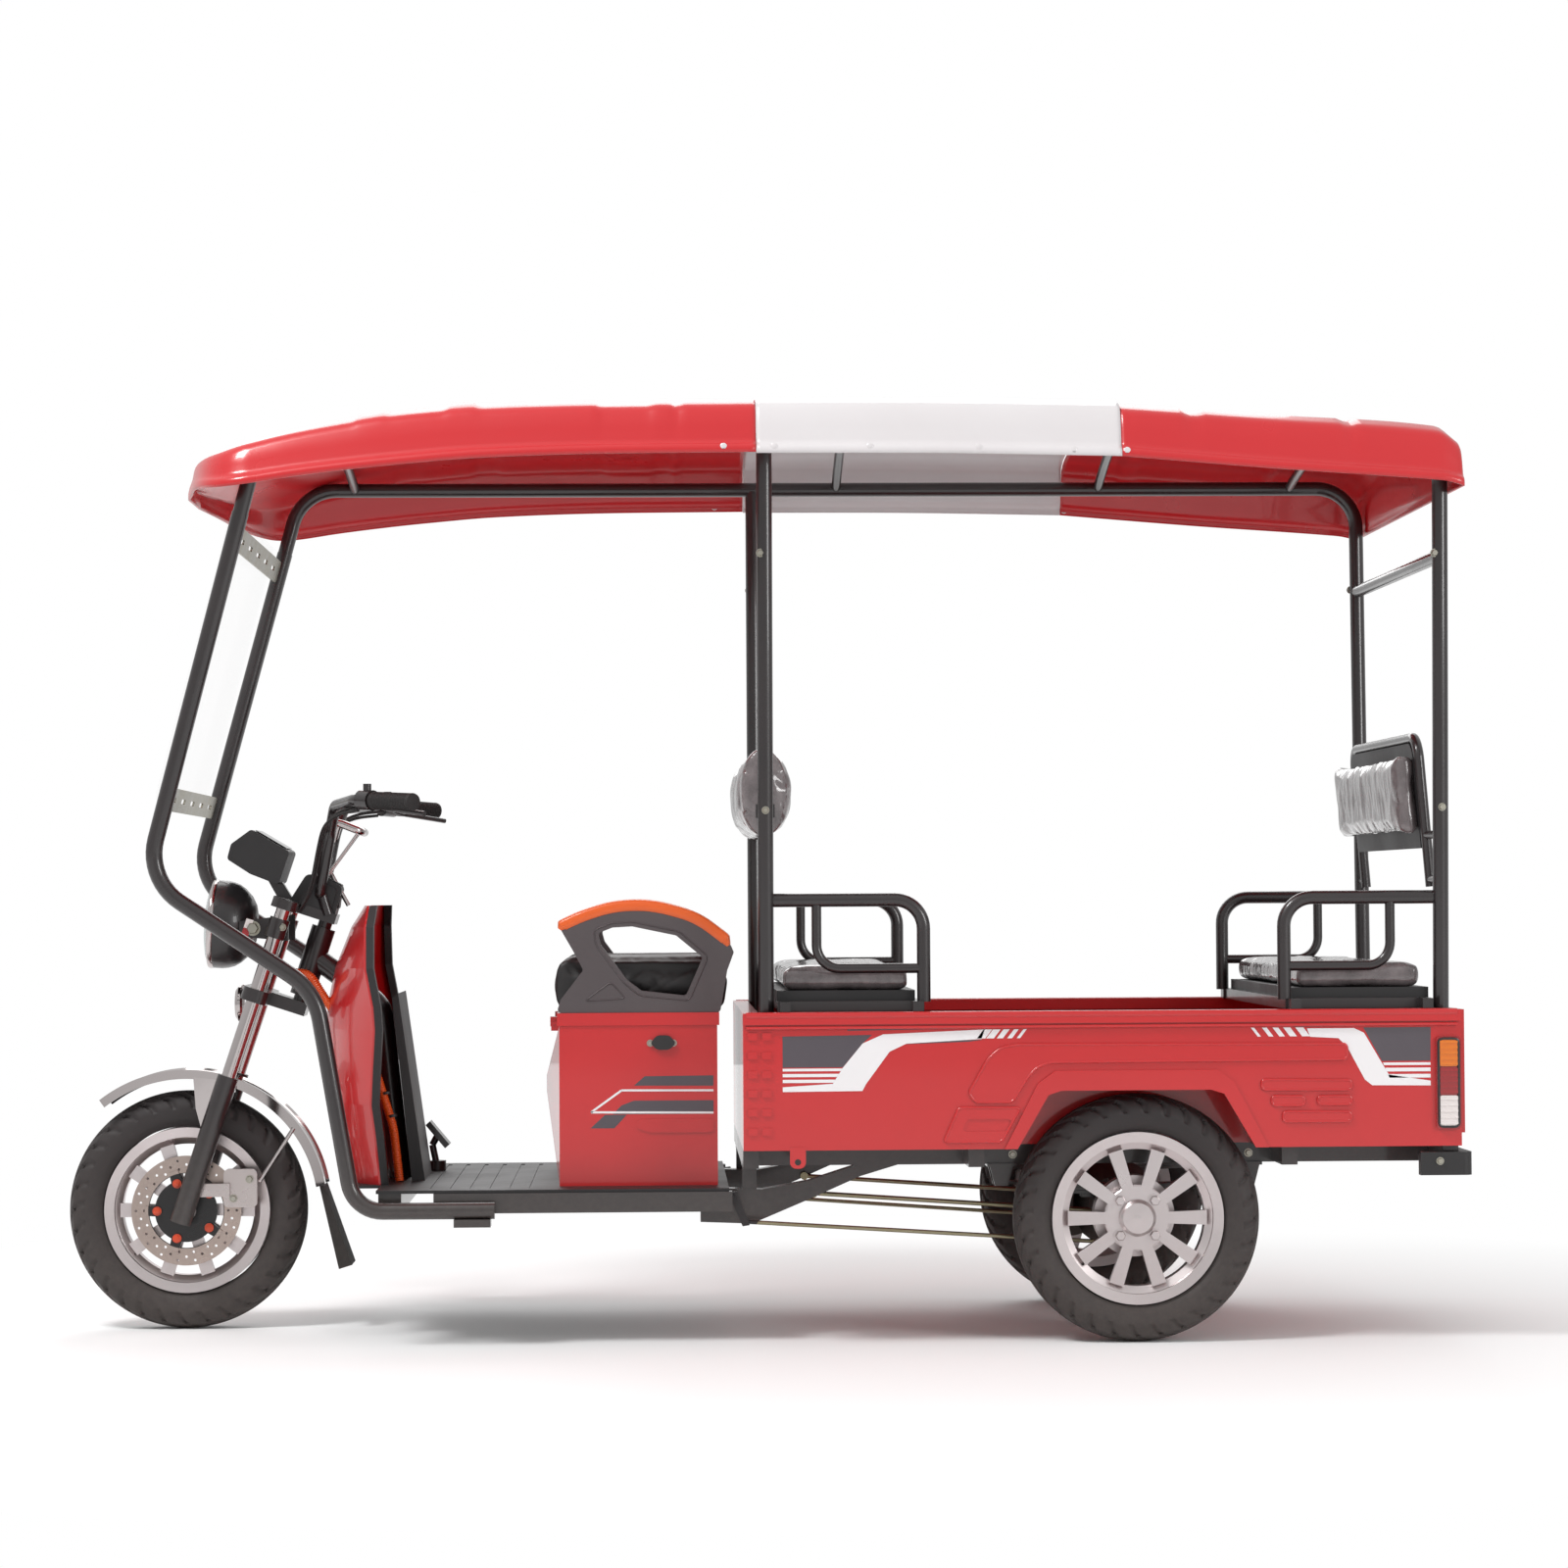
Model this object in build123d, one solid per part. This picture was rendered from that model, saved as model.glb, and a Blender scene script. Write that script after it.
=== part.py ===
from build123d import *
import math
import os

os.makedirs("parts", exist_ok=True)

# Electric cargo tricycle with a hard canopy. X points forward, Y to the rider's left, Z up.
# The origin is on the ground, in the middle of the length and of the width. Millimetres.

# Wheels
WHEEL_R = 237.0
TYRE_W = 92.0
RIM_R = 164.5
BEAD_R = 150.0
BEAD_HALF_W = 33.0
FLANGE_T = 5.0
SPOKES = 10
HUB_R = 63.0
HUB_CAP_R = 35.0
DRUM_R = 78.0
WHEELBASE = 1855.0
REAR_TRACK = 770.0
REAR_OVERHANG = 637.0
RUN_FIT = 0.05
SEAT_GAP = 0.3
MOVE_GAP = 6.0

# Front fork and steering
RAKE = 18.3
FORK_OFFSET = 80.0
FORK_HALF = 95.0
STANCHION_R = 14.0
SLIDER_R = 21.0
SLIDER_TOP_Z = 505.0
LOWER_CLAMP_Z = 640.0
UPPER_CLAMP_Z = 820.0
HEAD_TUBE_R = 24.0
FRONT_AXLE_R = 8.0
DISC_R = 109.0
BAR_R = 11.5
GRIP_R = 16.5
GRIP_LEN = 120.0
GRIP_END_Y = 385.0
GRIP_Z = 1040.0

# Cargo box
BOX_LEN = 1369.0
BOX_HALF_W = 475.0
BOX_BOTTOM_Z = 374.0
BOX_TOP_Z = 634.0
SHEET = 3.0
RIM_BAND_H = 22.0
RIM_BAND_W = 30.0
EYE_R = 6.0
EYE_T = 5.0
ARCH_FRONT_X = 235.0
ARCH_REAR_X = 220.0
ARCH_TOP_Z = 484.0
ARCH_SLOPE = 85.0
HOUSE_INNER_Y = 318.0
GATE_DEPTH = 14.5
GATE_HALF_W = BOX_HALF_W - 55.0
GATE_PIN_R = 5.0
PILLAR_W = 46.0
PILLAR_L = 52.0

# Chassis
TUBE_R = 16.0
POST_R = 15.0
RAIL_H = 38.0
RAIL_W = 30.0
RAIL_Z = 254.0
RAIL_Y = 378.0
FLOOR_T = 6.0
LADDER_H = 40.0
LADDER_Y = 270.0
LOOP_Y = BOX_HALF_W - 64.0
LOOP_TOP_Y = BOX_HALF_W - 29.0

# Canopy
ROOF_HALF_W = 575.0
ROOF_T = 5.0
ROOF_RAIL_Z = 1725.0
BOW_R = 10.0
POST_FOOT_Y = BOX_HALF_W - 75.0

# Driver's seat and its box
SEAT_BOX_LEN = 306.0
SEAT_BOX_HALF_W = 300.0
SEAT_BOX_TOP_Z = 607.0
SEAT_BOX_PROW = 32.0
PANEL = 3.0
LID_H = 25.0
SEAT_H = 105.0
ARM_T = 44.0

# Benches
BENCH_Y = BOX_HALF_W - 65.0
BENCH_BASE_H = 21.0
BENCH_BOARD_H = 20.0
BENCH_PAD_H = 44.0
ARM_TOP_Z = 848.0
BRACE_Z = 717.0
BRACE_R = 9.5
ARM_BEND_R = 55.0

# Places that follow from the sizes above
LENGTH = WHEEL_R + WHEELBASE + REAR_OVERHANG
REAR_X = -LENGTH / 2
REAR_AXLE_X = REAR_X + REAR_OVERHANG
FRONT_AXLE_X = REAR_AXLE_X + WHEELBASE
AXLE_Z = WHEEL_R
BOX_REAR_X = REAR_X + GATE_DEPTH + 8.0
BOX_FRONT_X = BOX_REAR_X + BOX_LEN
FLOOR_Z = RAIL_Z + RAIL_H
LADDER_Z = BOX_BOTTOM_Z - LADDER_H
BENCH_Z = BOX_TOP_Z
RAKE_SIN = math.sin(math.radians(RAKE))
RAKE_COS = math.cos(math.radians(RAKE))
STEER_DIR = (-RAKE_SIN, 0, RAKE_COS)


def steer_x(z, offset=0.0):
    """X of the steering axis at height z, or of a line offset forward from it."""
    axis_x = FRONT_AXLE_X - (FORK_OFFSET - offset) / RAKE_COS
    return axis_x - (z - AXLE_Z) * RAKE_SIN / RAKE_COS


def bar(p, q, r):
    """A round bar of radius r from point p to point q."""
    run = Vector(*q) - Vector(*p)
    return Solid.make_cylinder(r, run.length, Plane(origin=p, z_dir=run))


def bent_bar(points, radii, r):
    """A round bar along straight runs joined by tangent arcs."""
    path = FilletPolyline(*points, radius=radii)
    return sweep(Plane(origin=path @ 0, z_dir=path % 0) * Circle(r), path)


def block(x, y, z):
    """A box between (low, high) pairs on each axis."""
    centre = Pos((x[0] + x[1]) / 2, (y[0] + y[1]) / 2, (z[0] + z[1]) / 2)
    return centre * Box(abs(x[1] - x[0]), abs(y[1] - y[0]), abs(z[1] - z[0]))


def side_plate(points, y, thickness, radius=0.0):
    """A plate with an (x, z) outline, from y towards +Y by its thickness."""
    corners = [(x, y, z) for x, z in points]
    if radius:
        outline = FilletPolyline(*corners, radius=radius, close=True)
    else:
        outline = Polyline(*corners, close=True)
    return extrude(make_face(outline.edges()), amount=thickness, dir=(0, 1, 0))


def ring(points, arc=360.0, start=0.0):
    """A closed (radius, width) outline turned about the wheel's own axis, Y."""
    face = make_face(Polyline(*points, close=True).edges())
    return Rot(0, -start, 0) * revolve(face, axis=Axis.Y, revolution_arc=-arc)


def both(shape):
    """The left piece and its mirror image on the right."""
    return [shape, mirror(shape, about=Plane.XZ)]


def save(name, *shapes):
    """Write one node, made of the solids of all the given shapes."""
    solids = [s for shape in shapes for s in shape.solids()]
    export_step(Compound(children=solids), f"parts/{name}.step")


def tyre():
    """Balloon tyre whose beads sit inside the rim's flanges."""
    half = TYRE_W / 2
    shoulder_r = WHEEL_R - 11.0
    shoulder_y = half - 9.0
    wall_r = (RIM_R + WHEEL_R) / 2 - 4.0
    foot_r = RIM_R + 2.0
    outline = [
        Line((BEAD_R, -BEAD_HALF_W), (BEAD_R, BEAD_HALF_W)),
        Line((BEAD_R, BEAD_HALF_W), (foot_r, BEAD_HALF_W)),
        ThreePointArc((foot_r, BEAD_HALF_W), (wall_r, half), (shoulder_r, shoulder_y)),
        ThreePointArc((shoulder_r, shoulder_y), (WHEEL_R, 0), (shoulder_r, -shoulder_y)),
        ThreePointArc((shoulder_r, -shoulder_y), (wall_r, -half), (foot_r, -BEAD_HALF_W)),
        Line((foot_r, -BEAD_HALF_W), (BEAD_R, -BEAD_HALF_W)),
    ]
    return revolve(make_face(outline), axis=Axis.Y)


def rim(hub_r, hub_half, bore_r, face_y):
    """Cast wheel: drop-centre barrel, tapered spokes with a dished face, and a bored hub."""
    seat = BEAD_R - 0.02
    in_y = BEAD_HALF_W + 0.3
    out_y = in_y + FLANGE_T
    well = BEAD_R - 14.0
    skin = 5.0
    barrel = ring([
        (RIM_R, -out_y), (RIM_R, -in_y), (seat, -in_y), (seat, -20), (well, -13), (well, 13),
        (seat, 20), (seat, in_y), (RIM_R, in_y), (RIM_R, out_y), (seat - skin, out_y - 3),
        (seat - skin, 22), (well - skin, 14), (well - skin, -14), (seat - skin, -22),
        (seat - skin, 3 - out_y)])
    root = hub_r - 8.0
    tip = well - skin / 2
    spoke_t = 15.0
    arm = side_plate([(root, -11), (tip, -14), (tip, 14), (root, 11)], face_y - spoke_t, spoke_t)
    spokes = [Rot(0, 360.0 / SPOKES * i, 0) * arm for i in range(SPOKES)]
    hub = ring([(0, -hub_half), (hub_r * 0.6, -hub_half), (hub_r, face_y - spoke_t),
                (hub_r, face_y - 2), (hub_r - 3, face_y), (0, face_y)])
    wheel = barrel + hub + spokes
    return wheel - bar((0, -200, 0), (0, 200, 0), bore_r)


def wheel_at(shape, x, y):
    return Pos(x, y, AXLE_Z) * shape


def brake_disc():
    """Drilled steel disc on a five-armed carrier, left of the front hub."""
    t = 4.0
    inner_r = 74.0
    disc = ring([(inner_r, 0), (DISC_R, 0), (DISC_R, t), (inner_r, t)])
    holes = []
    for row_r, phase in ((83.0, 0.0), (91.5, 10.0), (100.0, 0.0)):
        for i in range(18):
            a = math.radians(i * 20.0 + phase)
            x, z = row_r * math.cos(a), row_r * math.sin(a)
            holes.append(bar((x, -1, z), (x, t + 1, z), 2.6))
    disc = disc - holes
    carrier = ring([(FRONT_AXLE_R + 12, t), (62, t), (62, t + 5), (FRONT_AXLE_R + 12, t + 5)])
    arms = []
    for i in range(5):
        reach = side_plate([(50, -12), (82, -9), (82, 9), (50, 12)], t, 5.0)
        arms.append(Rot(0, 72.0 * i, 0) * reach)
    return disc + (carrier + arms)


def front_wheel():
    disc_y = 46.0
    hub_face = 30.0
    hub = rim(44.0, 36.0, FRONT_AXLE_R + RUN_FIT, hub_face)
    carrier_seat = ring([(FRONT_AXLE_R + RUN_FIT, hub_face - 1), (38, hub_face - 1), (38, disc_y + 4),
                         (FRONT_AXLE_R + RUN_FIT, disc_y + 4)])
    save("front_tyre", wheel_at(tyre(), FRONT_AXLE_X, 0))
    save("front_rim", wheel_at(hub + carrier_seat, FRONT_AXLE_X, 0))
    bolts = []
    for i in range(5):
        a = math.radians(72.0 * i)
        x, z = 57.0 * math.cos(a), 57.0 * math.sin(a)
        bolts.append(bar((x, 8, z), (x, 13, z), 6.0))
    save("front_brake_disc", wheel_at(Pos(0, disc_y, 0) * (brake_disc() + bolts), FRONT_AXLE_X, 0))


AXLE_STUB_R = 15.0
DRUM_IN_Y = 62.0


def rear_wheels():
    face_y = 26.0
    cast = rim(HUB_R, 30.0, AXLE_STUB_R + RUN_FIT, face_y)
    cap = ring([(0, face_y), (HUB_CAP_R, face_y), (HUB_CAP_R, face_y + 8), (HUB_CAP_R - 6, face_y + 14),
                (0, face_y + 15)])
    nuts = []
    for i in range(4):
        a = math.radians(45.0 + 90.0 * i)
        x, z = 47.0 * math.cos(a), 47.0 * math.sin(a)
        nuts.append(bar((x, face_y, z), (x, face_y + 9, z), 7.0))
    drum = ring([(AXLE_STUB_R + RUN_FIT, -30), (AXLE_STUB_R + RUN_FIT, -DRUM_IN_Y), (DRUM_R, -DRUM_IN_Y),
                 (DRUM_R, -24), (HUB_R * 0.6 + 4, -24), (HUB_R * 0.6, -30)])
    for side, turn in (("left", 0.0), ("right", 180.0)):
        y = REAR_TRACK / 2 if side == "left" else -REAR_TRACK / 2
        place = Rot(0, 0, turn)
        save(f"rear_{side}_tyre", wheel_at(place * tyre(), REAR_AXLE_X, y))
        save(f"rear_{side}_rim", wheel_at(place * (cast + [cap] + nuts), REAR_AXLE_X, y),
             wheel_at(place * drum, REAR_AXLE_X, y))


def rear_axle():
    """Axle tube with brake backing plates, spring seats and the gear housing, and its motor."""
    tube_r = 27.0
    y_end = REAR_TRACK / 2
    plate_y = y_end - DRUM_IN_Y - MOVE_GAP
    x, z = REAR_AXLE_X, AXLE_Z
    beam = bar((x, -plate_y, z), (x, plate_y, z), tube_r)
    stubs = bar((x, -y_end - 24, z), (x, y_end + 24, z), AXLE_STUB_R)
    plates = both(bar((x, plate_y - 8, z), (x, plate_y, z), DRUM_R))
    housing = Pos(x, 0, z) * ring([(0, -80), (55, -70), (88, -30), (88, 30), (55, 70), (0, 80)])
    seats = both(block((x - 45, x + 45), (SPRING_Y - 30, SPRING_Y + 30), (z + 15, SPRING_SEAT_Z)))
    arms = both(side_plate([(x + 12, z - 70), (x + 46, z - 62), (x + 46, z - 48), (x - 8, z - 48)],
                           plate_y - 15, 8.0))
    save("rear_axle", beam + [stubs, housing] + plates + seats + arms)
    motor = bar((x + 96, -78, z + 10), (x + 96, 78, z + 10), 72.0) - Pos(x, 0, z) * ring(
        [(0, -79), (88, -79), (88, 79), (0, 79)])
    save("drive_motor", motor)


def brake_linkage():
    """Levers below the floor rails, the rods back to the brake arms, and the rods that hold the axle."""
    pivot_x, pivot_z = BOX_FRONT_X + 19.0, RAIL_Z + 21.0
    lever_y = RAIL_Y - RAIL_W / 2 - 12.0
    low_x, low_z = BOX_FRONT_X - 7.0, RAIL_Z - 24.0
    lever = side_plate([(pivot_x - 9, pivot_z + 14), (pivot_x + 9, pivot_z + 12), (low_x + 7, low_z - 8), (low_x - 7, low_z - 6)],
                       lever_y - 6, 6.0)
    pin = bar((pivot_x, lever_y - 10, pivot_z), (pivot_x, RAIL_Y - RAIL_W / 2 - SEAT_GAP, pivot_z), 7.0)
    arm_y = REAR_TRACK / 2 - DRUM_IN_Y - MOVE_GAP - 14.0
    rod = bar((low_x, lever_y - 8, low_z), (REAR_AXLE_X + 46.0 + 0.8, arm_y, AXLE_Z - 55), 4.0)
    hook = bar((low_x, lever_y - 12, low_z), (low_x, lever_y, low_z), 5.0)
    beam_y = LADDER_Y - 20.0
    stay_x, stay_z = BOX_FRONT_X - 141.0, RAIL_Z + 22.0
    stay = bar((stay_x, beam_y - 14, stay_z), (REAR_AXLE_X + 27.0 + SEAT_GAP, beam_y - 14, AXLE_Z - 2), 4.5)
    stay = stay - bar((REAR_AXLE_X, 0, AXLE_Z), (REAR_AXLE_X, REAR_TRACK / 2, AXLE_Z), 27.0 + SEAT_GAP)
    stay_pin = bar((stay_x, beam_y - 20, stay_z), (stay_x, beam_y - SEAT_GAP, stay_z), 8.0)
    save("brake_linkage", *both(lever + [pin, rod, hook]), *both(stay + stay_pin))


SPRING_Y = LADDER_Y
SPRING_W = 44.0
LEAF_T = 6.0
LEAVES = 4
SPRING_SEAT_Z = AXLE_Z + 30.0
SPRING_FRONT_X = REAR_AXLE_X + 250.0
SPRING_REAR_X = REAR_AXLE_X - 230.0
SPRING_CAMBER = 8.0
SPRING_EYE_R = 12.0
SPRING_PIN_R = 6.0


def leaf(x0, x1, low, rise):
    """One curved leaf, its ends higher than its middle by the rise."""
    mid = (x0 + x1) / 2
    outline = [
        ThreePointArc((x0, SPRING_Y, low + rise), (mid, SPRING_Y, low), (x1, SPRING_Y, low + rise)),
        Line((x1, SPRING_Y, low + rise), (x1, SPRING_Y, low + rise + LEAF_T)),
        ThreePointArc((x1, SPRING_Y, low + rise + LEAF_T), (mid, SPRING_Y, low + LEAF_T),
                      (x0, SPRING_Y, low + rise + LEAF_T)),
        Line((x0, SPRING_Y, low + rise + LEAF_T), (x0, SPRING_Y, low + rise)),
    ]
    return extrude(make_face(outline), amount=SPRING_W / 2, dir=(0, 1, 0), both=True)


def leaf_springs():
    """Stacks of curved leaves clamped on the axle, and the hangers that carry their eyes."""
    step = LEAF_T + 0.6
    stack = []
    for i in range(LEAVES):
        cut = 52.0 * (LEAVES - 1 - i)
        share = 1.0 - 2 * cut / (SPRING_FRONT_X - SPRING_REAR_X)
        stack.append(leaf(SPRING_FRONT_X - cut, SPRING_REAR_X + cut, SPRING_SEAT_Z + 0.6 + step * i,
                          SPRING_CAMBER * share ** 2))
    eye_z = SPRING_SEAT_Z + step * (LEAVES - 1) + SPRING_CAMBER + SPRING_EYE_R
    half = SPRING_W / 2
    for x in (SPRING_FRONT_X, SPRING_REAR_X):
        stack.append(bar((x, SPRING_Y - half, eye_z), (x, SPRING_Y + half, eye_z), SPRING_EYE_R))
        stack.append(bar((x, SPRING_Y - half - 7, eye_z), (x, SPRING_Y + half + 7, eye_z), SPRING_PIN_R))
    stack.append(block((REAR_AXLE_X - 38, REAR_AXLE_X + 38), (SPRING_Y - half - 4, SPRING_Y + half + 4),
                       (SPRING_SEAT_Z, SPRING_SEAT_Z + step * LEAVES + 8)))
    save("leaf_springs", *both(stack[0] + stack[1:]))
    hangers = []
    for x in (SPRING_FRONT_X, SPRING_REAR_X):
        top = block((x - 28, x + 28), (SPRING_Y - half - 7, SPRING_Y + half + 7), (LADDER_Z - 5, LADDER_Z + 1))
        cheeks = [side_plate([(x - 24, LADDER_Z), (x + 24, LADDER_Z), (x + 13, eye_z - 15), (x - 13, eye_z - 15)],
                             SPRING_Y + y, 6.0) for y in (-half - 7, half + 1)]
        hanger = top + cheeks - bar((x, SPRING_Y - 60, eye_z), (x, SPRING_Y + 60, eye_z), SPRING_PIN_R)
        hangers += both(hanger)
    return hangers


def main_frame(hangers):
    """Floor rails, kick-up beams, ladder under the box, cross members and the backbone."""
    rail_front = LOOP_JOINT_X + 90.0
    rail_rear = BOX_FRONT_X + 20.0
    rails = both(block((rail_rear, rail_front), (RAIL_Y - RAIL_W / 2, RAIL_Y + RAIL_W / 2),
                       (RAIL_Z, FLOOR_Z)))
    drop = 32.0
    kick = both(side_plate([
        (rail_rear + 60, FLOOR_Z), (rail_rear - 60, FLOOR_Z - 4), (rail_rear - 150, LADDER_Z - 30),
        (rail_rear - 250, LADDER_Z + 2), (rail_rear - 330, LADDER_Z + 2), (rail_rear - 250, LADDER_Z - 22),
        (rail_rear - 150, LADDER_Z - 66), (rail_rear - 40, RAIL_Z - drop), (rail_rear + 60, RAIL_Z - drop + 4)],
        LADDER_Y - 20, 40.0))
    ladder = both(block((BOX_REAR_X, BOX_FRONT_X), (LADDER_Y - 20, LADDER_Y + 20), (LADDER_Z, BOX_BOTTOM_Z)))
    cross_y = RAIL_Y - RAIL_W / 2
    crosses = []
    for x in (rail_front - 15, rail_rear + 170, rail_rear + 30):
        crosses.append(block((x - 15, x + 15), (-cross_y - 1, cross_y + 1), (RAIL_Z, FLOOR_Z)))
    for x in (BOX_FRONT_X - 15, SPRING_FRONT_X + 60, SPRING_REAR_X - 60, BOX_REAR_X + 15):
        crosses.append(block((x - 15, x + 15), (-BOX_HALF_W + 40, BOX_HALF_W - 40), (LADDER_Z + 4, BOX_BOTTOM_Z)))
    struts = both(block((BOX_FRONT_X - 29, BOX_FRONT_X - 1), (LADDER_Y + 5, LADDER_Y + 19),
                        (FLOOR_Z - 10, LADDER_Z + 5)))
    spine = bent_bar([(steer_x(740.0), 0, 740.0), (BACKBONE_X, 0, 640.0), (BACKBONE_X - 40, 0, RAIL_Z + 12)],
                     [60.0], SPINE_R)
    head = bar((steer_x(HEAD_LOW_Z), 0, HEAD_LOW_Z), (steer_x(HEAD_HIGH_Z), 0, HEAD_HIGH_Z), HEAD_TUBE_R)
    head = head - bar((steer_x(HEAD_LOW_Z - 50), 0, HEAD_LOW_Z - 50),
                      (steer_x(HEAD_HIGH_Z + 50), 0, HEAD_HIGH_Z + 50), STEM_R + 0.4)
    spine = spine - bar((steer_x(HEAD_LOW_Z - 50), 0, HEAD_LOW_Z - 50),
                        (steer_x(HEAD_HIGH_Z + 50), 0, HEAD_HIGH_Z + 50), STEM_R + 0.4)
    foot = block((BACKBONE_X - 62, BACKBONE_X - 18), (-cross_y - 1, cross_y + 1), (RAIL_Z, FLOOR_Z))
    floor_frame = rails[0] + [rails[1]] + kick + crosses[:3] + [foot]
    box_frame = ladder[0] + [ladder[1]] + crosses[3:] + struts + hangers + gate_pins()
    save("floor_frame", floor_frame)
    save("main_frame", box_frame - floor_frame)
    save("head_tube", head + [spine - foot])


STEM_R = 14.0
SPINE_R = 22.0
HEAD_LOW_Z = LOWER_CLAMP_Z + 22.0
HEAD_HIGH_Z = UPPER_CLAMP_Z - 22.0
LOOP_JOINT_X = FRONT_AXLE_X - 600.0
BACKBONE_X = FRONT_AXLE_X - 385.0

LOOP_BEND_Z = 895.0
LOOP_TOP_Z = 1590.0
ROOF_RAIL_Y = LOOP_Y + (LOOP_TOP_Y - LOOP_Y) * (ROOF_RAIL_Z - LOOP_BEND_Z) / (LOOP_TOP_Z - LOOP_BEND_Z)
# Front loop, from its joint on the floor rail up to the canopy: x from the front axle, y, z, bend radius
LOOP = (
    (-627.5, LOOP_Y, RAIL_Z + TUBE_R - 9.0, None),
    (-360.5, LOOP_Y, RAIL_Z + TUBE_R - 9.0, 65.0),
    (-287.5, LOOP_Y, 680.0, 130.0),
    (33.5, LOOP_Y, LOOP_BEND_Z, 110.0),
    (-151.0, LOOP_TOP_Y, LOOP_TOP_Z, None),
)


def loop_point(z):
    """X and Y of the sloping post at height z."""
    x0, y0, z0, _ = LOOP[3]
    x1, y1, z1, _ = LOOP[4]
    t = (z - z0) / (z1 - z0)
    return FRONT_AXLE_X + x0 + t * (x1 - x0), y0 + t * (y1 - y0)


def front_loops():
    points = [(FRONT_AXLE_X + x, y, z) for x, y, z, _ in LOOP]
    radii = [r for _, _, _, r in LOOP if r]
    loops = both(bent_bar(points, radii, TUBE_R))
    rail_face = RAIL_Y + RAIL_W / 2
    lug = block((LOOP_JOINT_X - 20, LOOP_JOINT_X + 50), (RAIL_Y, LOOP_Y + 14), (RAIL_Z - 24, RAIL_Z - 9.0))
    strap = block((LOOP_JOINT_X - 20, LOOP_JOINT_X + 50), (RAIL_Y - 14, rail_face), (RAIL_Z - 12, RAIL_Z))
    save("front_loops", *loops, *both(lug + strap - loops[0]))
    return loops


def windscreen(loops):
    """Flat pane in front of the sloping posts, on an upper and a lower rail."""
    low_z, high_z = 1042.0, 1592.0
    rails = []
    for z in (low_z + 6, high_z - 44):
        x, y = loop_point(z)
        slope = Plane(origin=(x, 0, z), x_dir=(0, 1, 0), z_dir=Vector(*POST_NORMAL))
        strip = extrude(slope * SlotOverall(2 * (y - TUBE_R - 1), 46.0), amount=4.0)
        slots = [extrude(slope * Pos(sx, 0) * SlotOverall(60.0, 9.0), amount=4.0) for sx in (-300, -150, 0, 150, 300)]
        tabs = [extrude(slope * Pos(s * (y - TUBE_R - 6), 0) * Rectangle(26.0, 30.0), amount=4.0) for s in (-1, 1)]
        rails.append(strip - slots + tabs - loops)
    save("windscreen_rails", *rails)
    x0, y0 = loop_point(low_z)
    x1, y1 = loop_point(high_z)
    lift = Vector(*POST_NORMAL) * (TUBE_R + SEAT_GAP)
    base = Plane(origin=Vector((x0 + x1) / 2, 0, (low_z + high_z) / 2) + lift, x_dir=(0, 1, 0),
                 z_dir=Vector(*POST_NORMAL))
    tall = (high_z - low_z) / POST_NORMAL[0]
    pane = base * RectangleRounded(2 * (y0 + 6), tall, 30.0)
    save("windscreen", extrude(pane, amount=5.0))


POST_RUN = math.hypot(LOOP[4][0] - LOOP[3][0], LOOP[4][2] - LOOP[3][2])
POST_NORMAL = ((LOOP[4][2] - LOOP[3][2]) / POST_RUN, 0, (LOOP[3][0] - LOOP[4][0]) / POST_RUN)
REAR_POST_X = BOX_REAR_X + 26.0
MID_POST_X = BOX_FRONT_X - 46.0


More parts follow.
